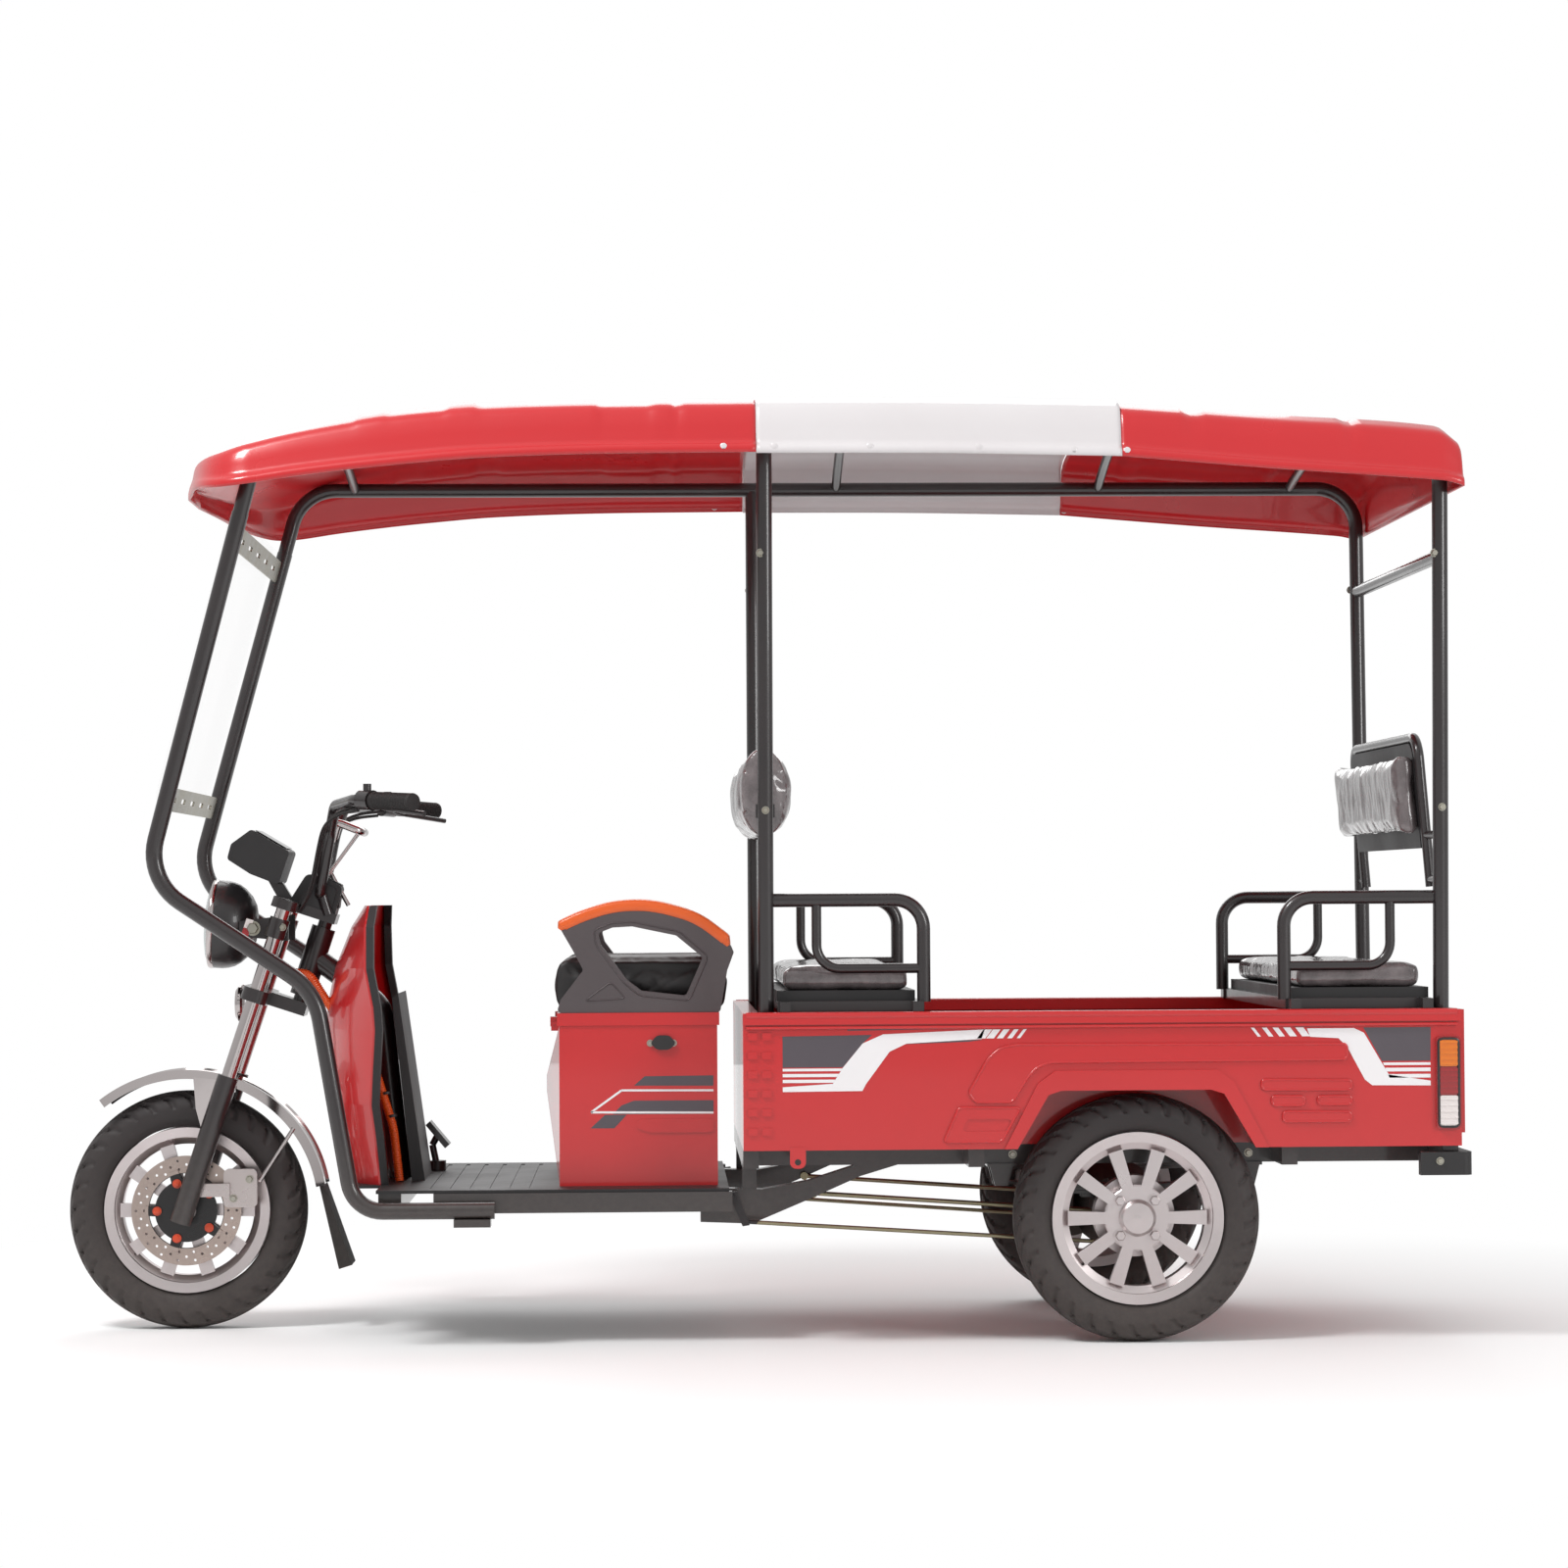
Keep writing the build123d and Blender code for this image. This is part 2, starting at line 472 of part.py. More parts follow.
def canopy_frame():
    """Side rails bent down to the posts at both ends, bows across, posts and the rear crossbar."""
    top_x, top_y = FRONT_AXLE_X + LOOP[4][0], LOOP[4][1]
    high_x = top_x - (ROOF_RAIL_Z - LOOP[4][2]) * POST_NORMAL[2] / POST_NORMAL[0]
    rear_split_z = 1560.0
    lean = (ROOF_RAIL_Y - POST_FOOT_Y) / (ROOF_RAIL_Z - BOX_BOTTOM_Z)
    split_y = POST_FOOT_Y + lean * (rear_split_z - BOX_BOTTOM_Z)
    rail = bent_bar([(top_x, top_y, LOOP[4][2]), (high_x, ROOF_RAIL_Y, ROOF_RAIL_Z),
                     (REAR_POST_X, ROOF_RAIL_Y, ROOF_RAIL_Z), (REAR_POST_X, split_y, rear_split_z)],
                    [95.0, 85.0], POST_R)
    save("canopy_rails", *both(rail))
    foot_z = BOX_BOTTOM_Z
    foot_y = POST_FOOT_Y
    floor_top = BOX_BOTTOM_Z + SHEET
    ground = block((REAR_POST_X - 50, MID_POST_X + 50), (0, ROOF_RAIL_Y), (foot_z - 50, floor_top))
    rear = bar((REAR_POST_X, foot_y, foot_z), (REAR_POST_X, split_y, rear_split_z), POST_R) - ground
    under = ROOF_RAIL_Z - 4.0
    mid = bar((MID_POST_X, foot_y, foot_z), (MID_POST_X, POST_FOOT_Y + lean * (under - BOX_BOTTOM_Z), under), POST_R)
    mid = mid - bar((MID_POST_X + 60, ROOF_RAIL_Y, ROOF_RAIL_Z), (MID_POST_X - 60, ROOF_RAIL_Y, ROOF_RAIL_Z), POST_R + RUN_FIT)
    mid = mid - ground
    tabs = back_tabs(lean)
    save("canopy_posts", *both(rear), *both(mid), *tabs)
    bows = []
    for x in (FRONT_AXLE_X - 300.0, BOX_FRONT_X - 225.0, BOX_FRONT_X - 787.0, BOX_REAR_X + 170.0):
        crown = roof_crown(x) - ROOF_T - BOW_R - SEAT_GAP
        path = ThreePointArc((x, -ROOF_RAIL_Y, ROOF_RAIL_Z), (x, 0, crown), (x, ROOF_RAIL_Y, ROOF_RAIL_Z))
        bow = sweep(Plane(origin=path @ 0, z_dir=path % 0) * Circle(BOW_R), path)
        bows.append(bow - [bar((x - 40, s * ROOF_RAIL_Y, ROOF_RAIL_Z), (x + 40, s * ROOF_RAIL_Y, ROOF_RAIL_Z), POST_R + RUN_FIT)
                           for s in (-1, 1)])
    bar_z = 1502.0
    bar_y = POST_FOOT_Y + lean * (bar_z - BOX_BOTTOM_Z) - POST_R + 1.0
    cross = bar((REAR_POST_X, -bar_y, bar_z), (REAR_POST_X, bar_y, bar_z), 13.0)
    posts = [bar((REAR_POST_X, s * foot_y, foot_z), (REAR_POST_X, s * split_y, rear_split_z), POST_R + RUN_FIT)
             for s in (-1, 1)]
    save("canopy_bows", *bows, cross - posts)
    return lean


# Canopy sections: x, half width, lip, shoulder and crown heights. The ends are tied to axle and box.
ROOF_SPLIT_1 = BOX_FRONT_X - 28.0
ROOF_SPLIT_2 = BOX_FRONT_X - 718.0
ROOF_FRONT = (
    (FRONT_AXLE_X - 10.0, ROOF_HALF_W - 485.0, 1650.0, 1682.0, 1686.0),
    (FRONT_AXLE_X - 32.0, ROOF_HALF_W - 345.0, 1645.0, 1687.0, 1695.0),
    (FRONT_AXLE_X - 57.0, ROOF_HALF_W - 175.0, 1638.0, 1693.0, 1708.0),
    (FRONT_AXLE_X - 85.0, ROOF_HALF_W - 75.0, 1632.0, 1699.0, 1720.0),
    (FRONT_AXLE_X - 122.0, ROOF_HALF_W - 20.0, 1628.0, 1707.0, 1733.0),
    (FRONT_AXLE_X - 172.0, ROOF_HALF_W, 1632.0, 1722.0, 1750.0),
    (FRONT_AXLE_X - 258.0, ROOF_HALF_W, 1645.0, 1744.0, 1773.0),
    (FRONT_AXLE_X - 362.0, ROOF_HALF_W, 1658.0, 1764.0, 1793.0),
    (FRONT_AXLE_X - 448.0, ROOF_HALF_W, 1667.0, 1778.0, 1806.0),
    (FRONT_AXLE_X - 588.0, ROOF_HALF_W, 1679.0, 1790.0, 1818.0),
    (FRONT_AXLE_X - 808.0, ROOF_HALF_W, 1687.0, 1797.0, 1825.0),
    (ROOF_SPLIT_1, ROOF_HALF_W, 1690.0, 1800.0, 1828.0),
)
ROOF_MIDDLE = (
    (ROOF_SPLIT_1 - 0.5, ROOF_HALF_W, 1688.0, 1803.0, 1832.0),
    ((ROOF_SPLIT_1 + ROOF_SPLIT_2) / 2, ROOF_HALF_W, 1688.0, 1803.0, 1832.0),
    (ROOF_SPLIT_2 + 0.5, ROOF_HALF_W, 1681.0, 1796.0, 1825.0),
)
ROOF_REAR = (
    (ROOF_SPLIT_2, ROOF_HALF_W, 1681.0, 1790.0, 1818.0),
    (BOX_REAR_X + 360.0, ROOF_HALF_W, 1657.0, 1770.0, 1798.0),
    (BOX_REAR_X + 45.0, ROOF_HALF_W, 1634.0, 1748.0, 1774.0),
    (BOX_REAR_X + 2.0, ROOF_HALF_W - 8.0, 1624.0, 1712.0, 1735.0),
)


def roof_crown(x):
    """Height of the canopy's ridge above the point x."""
    rows = ROOF_FRONT + ROOF_MIDDLE + ROOF_REAR
    for (xa, _, _, _, za), (xb, _, _, _, zb) in zip(rows, rows[1:]):
        if xb <= x <= xa:
            return za + (zb - za) * (xa - x) / max(xa - xb, 1e-6)
    raise ValueError("x is beyond the canopy")


def roof_section(x, half, lip, shoulder, crown, inset):
    """Half-open bell section: lip band, sloping shoulder and a crowned top, as a closed face."""
    w = half - inset
    s = shoulder - inset
    low = lip - (2.0 if inset else 0.0)
    band = lip + 20.0 - inset
    step_y = w - 16.0
    turn_y = w - 82.0
    rise = s - band - 4.0
    pts = [(x, w, low), (x, w, band), (x, step_y, band + 4), (x, step_y - 14, band + 4 + 0.7 * rise), (x, turn_y, s)]
    left = Polyline(*pts)
    right = Polyline(*[(x, -y, z) for _, y, z in reversed(pts)])
    top = ThreePointArc((x, turn_y, s), (x, 0, crown - inset), (x, -turn_y, s))
    base = Line((x, -w, low), (x, w, low))
    return make_face(left.edges() + [top] + right.edges() + [base])


def roof_shell(stations, closed_front, closed_rear):
    outer = loft([roof_section(*row, 0.0) for row in stations], ruled=True)
    inner_rows = [list(row) for row in stations]
    inner_rows[0][0] += -ROOF_T if closed_front else 5.0
    inner_rows[-1][0] += ROOF_T if closed_rear else -5.0
    inner = loft([roof_section(*row, ROOF_T) for row in inner_rows], ruled=True)
    return outer - inner


def roof():
    save("roof_front", roof_shell(ROOF_FRONT, True, False))
    save("roof_middle", roof_shell(ROOF_MIDDLE, False, False))
    save("roof_rear", roof_shell(ROOF_REAR, False, True))


PRESS_H = 3.5
# Raised pressings of the box sides: corner radius, then an outline with x from the front of the box, and z
PRESSINGS = (
    (7.0, ((-428, 481), (-464, 544), (-488, 565), (-518, 572), (-1150, 569), (-1150, 540), (-583, 538), (-559, 529),
           (-541, 511), (-511, 463), (-440, 463))),
    (7.0, ((-380, 388), (-409, 453), (-526, 452), (-490, 388))),
    (8.0, ((-987, 502), (-1158, 500), (-1158, 482), (-987, 483))),
    (7.0, ((-1006, 471), (-1068, 470), (-1068, 453), (-1006, 453))),
    (7.0, ((-1094, 470), (-1158, 470), (-1158, 454), (-1094, 454))),
    (8.0, ((-1027, 441), (-1157, 440), (-1157, 422), (-1027, 422))),
)
PRESS_POCKET = ((-414, 408), (-426, 431), (-511, 431), (-498, 408))


def cargo_box():
    """Pressed steel box: sides with wheel arches and rolled rims, front, floor and wheel houses."""
    x0, x1 = BOX_REAR_X, BOX_FRONT_X
    arch = [(REAR_AXLE_X + ARCH_FRONT_X, BOX_BOTTOM_Z - 1), (REAR_AXLE_X + ARCH_FRONT_X - 60, ARCH_TOP_Z - 8),
            (REAR_AXLE_X + ARCH_FRONT_X - ARCH_SLOPE, ARCH_TOP_Z), (REAR_AXLE_X - ARCH_REAR_X + ARCH_SLOPE, ARCH_TOP_Z),
            (REAR_AXLE_X - ARCH_REAR_X + 60, ARCH_TOP_Z - 8), (REAR_AXLE_X - ARCH_REAR_X, BOX_BOTTOM_Z - 1)]
    top = BOX_TOP_Z - RIM_BAND_H
    wall_y = BOX_HALF_W - 6.0 - SHEET
    wall = side_plate([(x0, BOX_BOTTOM_Z), (x1, BOX_BOTTOM_Z), (x1, top + 4), (x0, top + 4)], wall_y, SHEET)
    wall = wall - side_plate(arch, wall_y - 2, SHEET + 4)
    band = block((x0, x1), (BOX_HALF_W - RIM_BAND_W, BOX_HALF_W), (top, BOX_TOP_Z))
    band = band - block((x0 - 1, x1 + 1), (BOX_HALF_W - RIM_BAND_W + SHEET, BOX_HALF_W - SHEET),
                        (top - 1, BOX_TOP_Z - SHEET))
    lip_out = [(x + dx, z + dz) for (x, z), dx, dz in zip(
        arch, (24, 20, 12, -12, -20, -24), (1, 22, 38, 38, 22, 1))]
    lip = side_plate(lip_out, wall_y, SHEET + 6.0) - side_plate(arch, wall_y - 2, SHEET + 12.0)
    pillar = block((x0, x0 + PILLAR_L), (BOX_HALF_W - PILLAR_W, BOX_HALF_W - 6), (BOX_BOTTOM_Z, top + 2))
    pillar = pillar - block((x0 + SHEET, x0 + PILLAR_L - SHEET),
                            (BOX_HALF_W - PILLAR_W + SHEET, BOX_HALF_W - 6 - SHEET), (BOX_BOTTOM_Z - 1, top + 3))
    dimples = []
    for column in range(2):
        for row in range(6):
            cx = x1 - 18.0 - 27.0 * column
            cz = 590.0 - 36.0 * row
            dimples.append(block((cx - 9, cx + 9), (wall_y + SHEET, wall_y + SHEET + 3.5), (cz - 7, cz + 7)))
    face_y = wall_y + SHEET - 0.5
    presses = [side_plate([(x1 + x, z) for x, z in row], face_y, PRESS_H + 0.5, radius) for radius, row in PRESSINGS]
    presses[1] = presses[1] - side_plate([(x1 + x, z) for x, z in PRESS_POCKET], face_y + 1.5, PRESS_H, 5.0)
    eye_x = x1 - 103.0
    tab = block((eye_x - 15, eye_x + 15), (wall_y, wall_y + EYE_T), (BOX_BOTTOM_Z - 34, BOX_BOTTOM_Z + 6))
    tab = fillet(tab.edges().filter_by(Axis.Y).group_by(Axis.Z)[0], 12.0)
    eye_z = BOX_BOTTOM_Z - 22.0
    tab = tab - bar((eye_x, wall_y - 20, eye_z), (eye_x, wall_y + 20, eye_z), EYE_R)
    side = wall + [band, lip, pillar, tab] + presses + dimples
    save("box_sides", *both(side))
    inner_y = wall_y
    front = block((x1 - SHEET, x1), (-inner_y, inner_y), (BOX_BOTTOM_Z, top))
    front_band = block((x1 - RIM_BAND_W, x1), (-BOX_HALF_W + RIM_BAND_W, BOX_HALF_W - RIM_BAND_W), (top, BOX_TOP_Z))
    front_band = front_band - block((x1 - RIM_BAND_W + SHEET, x1 - SHEET), (-BOX_HALF_W, BOX_HALF_W),
                                    (top - 1, BOX_TOP_Z - SHEET))
    save("box_front", front + front_band)
    hx0, hx1 = REAR_AXLE_X - ARCH_REAR_X - 14, REAR_AXLE_X + ARCH_FRONT_X + 14
    floor = block((x0, x1 - SHEET), (-inner_y, inner_y), (BOX_BOTTOM_Z, BOX_BOTTOM_Z + SHEET))
    floor = floor - [block((hx0, hx1), (s * HOUSE_INNER_Y, s * (inner_y + 1)), (BOX_BOTTOM_Z - 1, BOX_BOTTOM_Z + 9))
                     for s in (-1, 1)]
    floor = floor - both(block((x0 - 1, x0 + PILLAR_L), (BOX_HALF_W - PILLAR_W, BOX_HALF_W),
                               (BOX_BOTTOM_Z - 1, BOX_BOTTOM_Z + 9)))
    ribs = []
    for y in (-240.0, -160.0, -80.0, 0.0, 80.0, 160.0, 240.0):
        ribs.append(block((x0 + 60, x1 - 60), (y - 14, y + 14), (BOX_BOTTOM_Z + SHEET, BOX_BOTTOM_Z + SHEET + 4)))
    house_top = ARCH_TOP_Z + 42.0
    outer = side_plate([(hx1, BOX_BOTTOM_Z), (hx1 - 62, house_top), (hx0 + 62, house_top), (hx0, BOX_BOTTOM_Z)],
                       HOUSE_INNER_Y, inner_y - HOUSE_INNER_Y)
    hollow = side_plate([(hx1 - 4, BOX_BOTTOM_Z - 1), (hx1 - 65, house_top - SHEET), (hx0 + 65, house_top - SHEET),
                         (hx0 + 4, BOX_BOTTOM_Z - 1)], HOUSE_INNER_Y + SHEET, inner_y - HOUSE_INNER_Y)
    save("box_floor", floor + ribs, *both(outer - hollow))


GATE_PIN_X = BOX_REAR_X - 8.0
GATE_PIN_Z = BOX_BOTTOM_Z + 10.0
GATE_LOW_Z = BOX_BOTTOM_Z + 22.0
HINGE_Y = (-300.0, 0.0, 300.0)


def tailgate():
    """Pressed gate with turned edges and a raised field, on lugs that turn on fixed pins."""
    front_x = REAR_X + GATE_DEPTH
    skin_x = REAR_X + 6.0
    high = BOX_TOP_Z - 2.0
    pan = block((skin_x, front_x), (-GATE_HALF_W, GATE_HALF_W), (GATE_LOW_Z, high))
    pan = pan - block((skin_x + SHEET, front_x + 1), (-GATE_HALF_W + SHEET, GATE_HALF_W - SHEET),
                      (GATE_LOW_Z + SHEET, high - SHEET))
    mid_z = (GATE_LOW_Z + high) / 2
    base = Plane(origin=(skin_x, 0, mid_z), x_dir=(0, 1, 0), z_dir=(-1, 0, 0))
    tall = high - GATE_LOW_Z - 70.0
    field = extrude(base * RectangleRounded(2 * GATE_HALF_W - 90, tall, 20.0), amount=6.0, taper=35.0)
    gate = pan + field
    lugs = []
    for y in HINGE_Y:
        knuckle = bar((GATE_PIN_X, y - 20, GATE_PIN_Z), (GATE_PIN_X, y + 20, GATE_PIN_Z), 7.4)
        web = block((skin_x, GATE_PIN_X - 1), (y - 20, y + 20), (GATE_PIN_Z, GATE_LOW_Z + 1))
        bore = bar((GATE_PIN_X, y - 21, GATE_PIN_Z), (GATE_PIN_X, y + 21, GATE_PIN_Z), GATE_PIN_R + RUN_FIT)
        lugs.append(knuckle + web - bore)
    save("tailgate", gate + lugs)


def gate_pins():
    """Fixed hinge pins, each between two ears on the rear cross member."""
    pins = []
    for y in HINGE_Y:
        pins.append(bar((GATE_PIN_X, y - 38, GATE_PIN_Z), (GATE_PIN_X, y + 38, GATE_PIN_Z), GATE_PIN_R))
        for s in (-1, 1):
            ear_y = y + s * 32
            pins.append(block((GATE_PIN_X - 6, BOX_REAR_X + 1), (ear_y - 6, ear_y + 6), (BOX_BOTTOM_Z - 8, BOX_BOTTOM_Z)))
            pins.append(block((GATE_PIN_X - 6, BOX_REAR_X), (ear_y - 6, ear_y + 6), (BOX_BOTTOM_Z - 1, GATE_PIN_Z)))
            pins.append(bar((GATE_PIN_X, ear_y - 6, GATE_PIN_Z), (GATE_PIN_X, ear_y + 6, GATE_PIN_Z), 6.0))
    return pins


def lamps_and_bumper():
    lamp_y = BOX_HALF_W - 6.0
    lamp = block((BOX_REAR_X + 2, BOX_REAR_X + 49), (lamp_y, BOX_HALF_W + 3), (406.0, 583.0))
    save("tail_lamps", *both(fillet(lamp.edges().filter_by(Axis.Y), 8.0)))
    top = BOX_BOTTOM_Z - 12.0
    low = top - 44.0
    rear = REAR_X + 1.0
    beam = block((rear, BOX_REAR_X), (-BOX_HALF_W + 8, BOX_HALF_W - 8), (low, top))
    wraps = both(block((rear, rear + 100), (BOX_HALF_W - 32, BOX_HALF_W - 8), (low, top)))
    shell = beam + wraps
    corner = [e for e in shell.edges().filter_by(Axis.Z) if e.center().X < rear + 1]
    shell = fillet(corner, 16.0)
    save("rear_bumper", shell)


BENCHES = (
    # x of the post it starts at, run of the arms, direction of the sitter's knees
    (MID_POST_X, 302.0, -1.0),
    (REAR_POST_X, 302.0, 1.0),
)


def bench(post_x, run, way):
    """Frame on the box rims with two bent arms, a board and a pad."""
    knee_x = post_x + way * run
    foot = BENCH_Z
    base_top = foot + BENCH_BASE_H
    back_x = post_x + way * (POST_R + 6.0)
    pieces = []
    for x in (back_x + way * 14, knee_x - way * 14):
        pieces.append(block((x - 10, x + 10), (-BOX_HALF_W + 12, BOX_HALF_W - 12), (foot, base_top)))
    rails = both(block((min(back_x, knee_x), max(back_x, knee_x)), (BENCH_Y - 12, BENCH_Y + 12), (foot, base_top)))
    arms = []
    for s in (-1, 1):
        y = s * BENCH_Y
        arms.append(bent_bar([(knee_x, y, base_top - 2), (knee_x, y, ARM_TOP_Z),
                              (post_x + way * (POST_R - 1), y, ARM_TOP_Z)], [ARM_BEND_R], 13.0))
        brace_x = post_x + way * 97.0
        arms.append(bent_bar([(brace_x, y, ARM_TOP_Z - 4), (brace_x, y, BRACE_Z), (knee_x, y, BRACE_Z)],
                             [45.0], BRACE_R))
    frame = pieces[0] + pieces[1:] + rails + arms
    lean = (ROOF_RAIL_Y - POST_FOOT_Y) / (ROOF_RAIL_Z - BOX_BOTTOM_Z)
    posts = [bar((post_x, s * POST_FOOT_Y, BOX_BOTTOM_Z), (post_x, s * ROOF_RAIL_Y, ROOF_RAIL_Z), POST_R + 0.02)
             for s in (-1, 1)]
    board_y = BENCH_Y - 12.0 - 3.0
    pad_x = (min(back_x, knee_x - way * 16), max(back_x, knee_x - way * 16))
    board = block(pad_x, (-board_y, board_y), (base_top, base_top + BENCH_BOARD_H))
    pad = block((pad_x[0] + 4, pad_x[1] - 4), (-board_y + 6, board_y - 6),
                (base_top + BENCH_BOARD_H + SEAT_GAP, base_top + BENCH_BOARD_H + BENCH_PAD_H))
    return frame - posts, board, fillet(pad.edges().filter_by(Axis.Y), 10.0)


BACK_PAD_Z = 1056.0


def back_tabs(lean):
    """Clips on the middle posts that hold the ends of the oval back."""
    tabs = []
    half = oval_half(lean)
    for s in (-1, 1):
        post_y = POST_FOOT_Y + lean * (BACK_PAD_Z - BOX_BOTTOM_Z)
        tab = block((MID_POST_X - 18, MID_POST_X + 18), sorted((s * (half + SEAT_GAP), s * (post_y - 4))),
                    (BACK_PAD_Z - 50, BACK_PAD_Z - 24))
        post = bar((MID_POST_X, s * POST_FOOT_Y, BOX_BOTTOM_Z), (MID_POST_X, s * ROOF_RAIL_Y, ROOF_RAIL_Z), POST_R)
        tabs.append(tab - post)
    return tabs


def oval_half(lean):
    return POST_FOOT_Y + lean * (BACK_PAD_Z - BOX_BOTTOM_Z) - POST_R - 22.0


def bench_backs(lean):
    """The oval back between the middle posts and the framed back before the rear posts."""
    half = oval_half(lean)
    outline = Plane(origin=(MID_POST_X, half, BACK_PAD_Z), x_dir=(0, 0, 1), z_dir=(0, -1, 0)) * Ellipse(90.0, 48.0)
    oval = extrude(outline, amount=2 * half)
    hoop_y = 345.0
    foot_z, high_z = 868.0, 1158.0
    foot_x, high_x = REAR_POST_X + 4.0, REAR_POST_X + 28.0
    hoop = bent_bar([(foot_x, -hoop_y, foot_z), (high_x, -hoop_y, high_z), (high_x, hoop_y, high_z),
                     (foot_x, hoop_y, foot_z)], [45.0, 45.0], 10.0)
    posts = [bar((REAR_POST_X, s * POST_FOOT_Y, BOX_BOTTOM_Z), (REAR_POST_X, s * ROOF_RAIL_Y, ROOF_RAIL_Z), POST_R)
             for s in (-1, 1)]
    ties = []
    for z in (foot_z + 14, foot_z + 100):
        tie_x = foot_x + (z - foot_z) * (high_x - foot_x) / (high_z - foot_z)
        tie_y = POST_FOOT_Y + lean * (z - BOX_BOTTOM_Z)
        for s in (-1, 1):
            ties.append(bar((tie_x, s * hoop_y, z), (REAR_POST_X, s * tie_y, z), 8.0) - posts)
    back_frame = hoop + ties
    tilt = math.degrees(math.atan2(high_x - foot_x, high_z - foot_z))
    face_x = (foot_x + high_x) / 2 + 10.0
    place = Plane(origin=(face_x + 2.0, 0, 1040.0)) * Rot(0, tilt, 0)
    pad = Pos(20.0, 0, 8.0) * Box(38.0, 2 * hoop_y, 160.0)
    pad = fillet(pad.edges().filter_by(Axis.Y), 14.0)
    save("back_pads", oval, place * pad)
    backing = Pos(-4.65, 0, 4.8) * Box(10.7, 2 * (hoop_y - 10.0 - SEAT_GAP), 205.6)
    high_corners = backing.edges().filter_by(Axis.X).sort_by(Axis.Z)[-2:]
    return back_frame, place * fillet(high_corners, 36.0)


def benches(lean):
    frames, boards, pads = zip(*[bench(*row) for row in BENCHES])
    back_frame, backing = bench_backs(lean)
    save("bench_frames", *frames, back_frame)
    save("bench_boards", *boards, backing)
    save("bench_pads", *pads)


SEAT_REAR_X = BOX_FRONT_X + 46.0
SEAT_FRONT_X = SEAT_REAR_X + SEAT_BOX_LEN
LID_PIN_X = SEAT_FRONT_X + 14.0
LID_PIN_Z = SEAT_BOX_TOP_Z + 2.0


def seat_box_solid(inset, low, high):
    """Box with a shallow pyramid for its front face, set in by a wall where asked."""
    half = SEAT_BOX_HALF_W - inset
    body = block((SEAT_REAR_X + inset, SEAT_FRONT_X - inset), (-half, half), (low, high))
    face = Plane(origin=(SEAT_FRONT_X - inset, 0, 0), x_dir=(0, 1, 0), z_dir=(1, 0, 0))
    tip_z = 485.0
    mid = (low + high) / 2
    big = face * Pos(0, mid) * Rectangle(2 * half, high - low)
    small = face.offset(SEAT_BOX_PROW) * Pos(0, tip_z) * Rectangle(60.0, 30.0)
    return body + loft([big, small], ruled=True)


def battery_box():
    shell = seat_box_solid(0.0, FLOOR_Z + FLOOR_T, SEAT_BOX_TOP_Z)
    hollow = seat_box_solid(PANEL, FLOOR_Z + FLOOR_T + PANEL, SEAT_BOX_TOP_Z - 0.01)
    mouth = block((SEAT_REAR_X + PANEL, SEAT_FRONT_X - PANEL), (-SEAT_BOX_HALF_W + PANEL, SEAT_BOX_HALF_W - PANEL),
                  (SEAT_BOX_TOP_Z - 60, SEAT_BOX_TOP_Z + 1))
    shell = shell - [hollow, mouth]
    pins = []
    for y in (-180.0, 180.0):
        pin = bar((LID_PIN_X, y - 30, LID_PIN_Z), (LID_PIN_X, y + 30, LID_PIN_Z), 3.5)
        ears = [block((SEAT_FRONT_X - 2, LID_PIN_X + 4), (y + s * 24 - 5, y + s * 24 + 5),
                      (SEAT_BOX_TOP_Z - 12, LID_PIN_Z + 4)) for s in (-1, 1)]
        pins.append(pin + [e - block((SEAT_REAR_X, SEAT_FRONT_X + 1), (y - 40, y + 40),
                                     (SEAT_BOX_TOP_Z - 0.5, LID_PIN_Z + 9)) for e in ears])
    save("battery_box", shell + pins)
    save("battery_pack", block((SEAT_REAR_X + 30, SEAT_FRONT_X - 30), (-230, 230),
                               (FLOOR_Z + FLOOR_T + PANEL, FLOOR_Z + FLOOR_T + 190)))


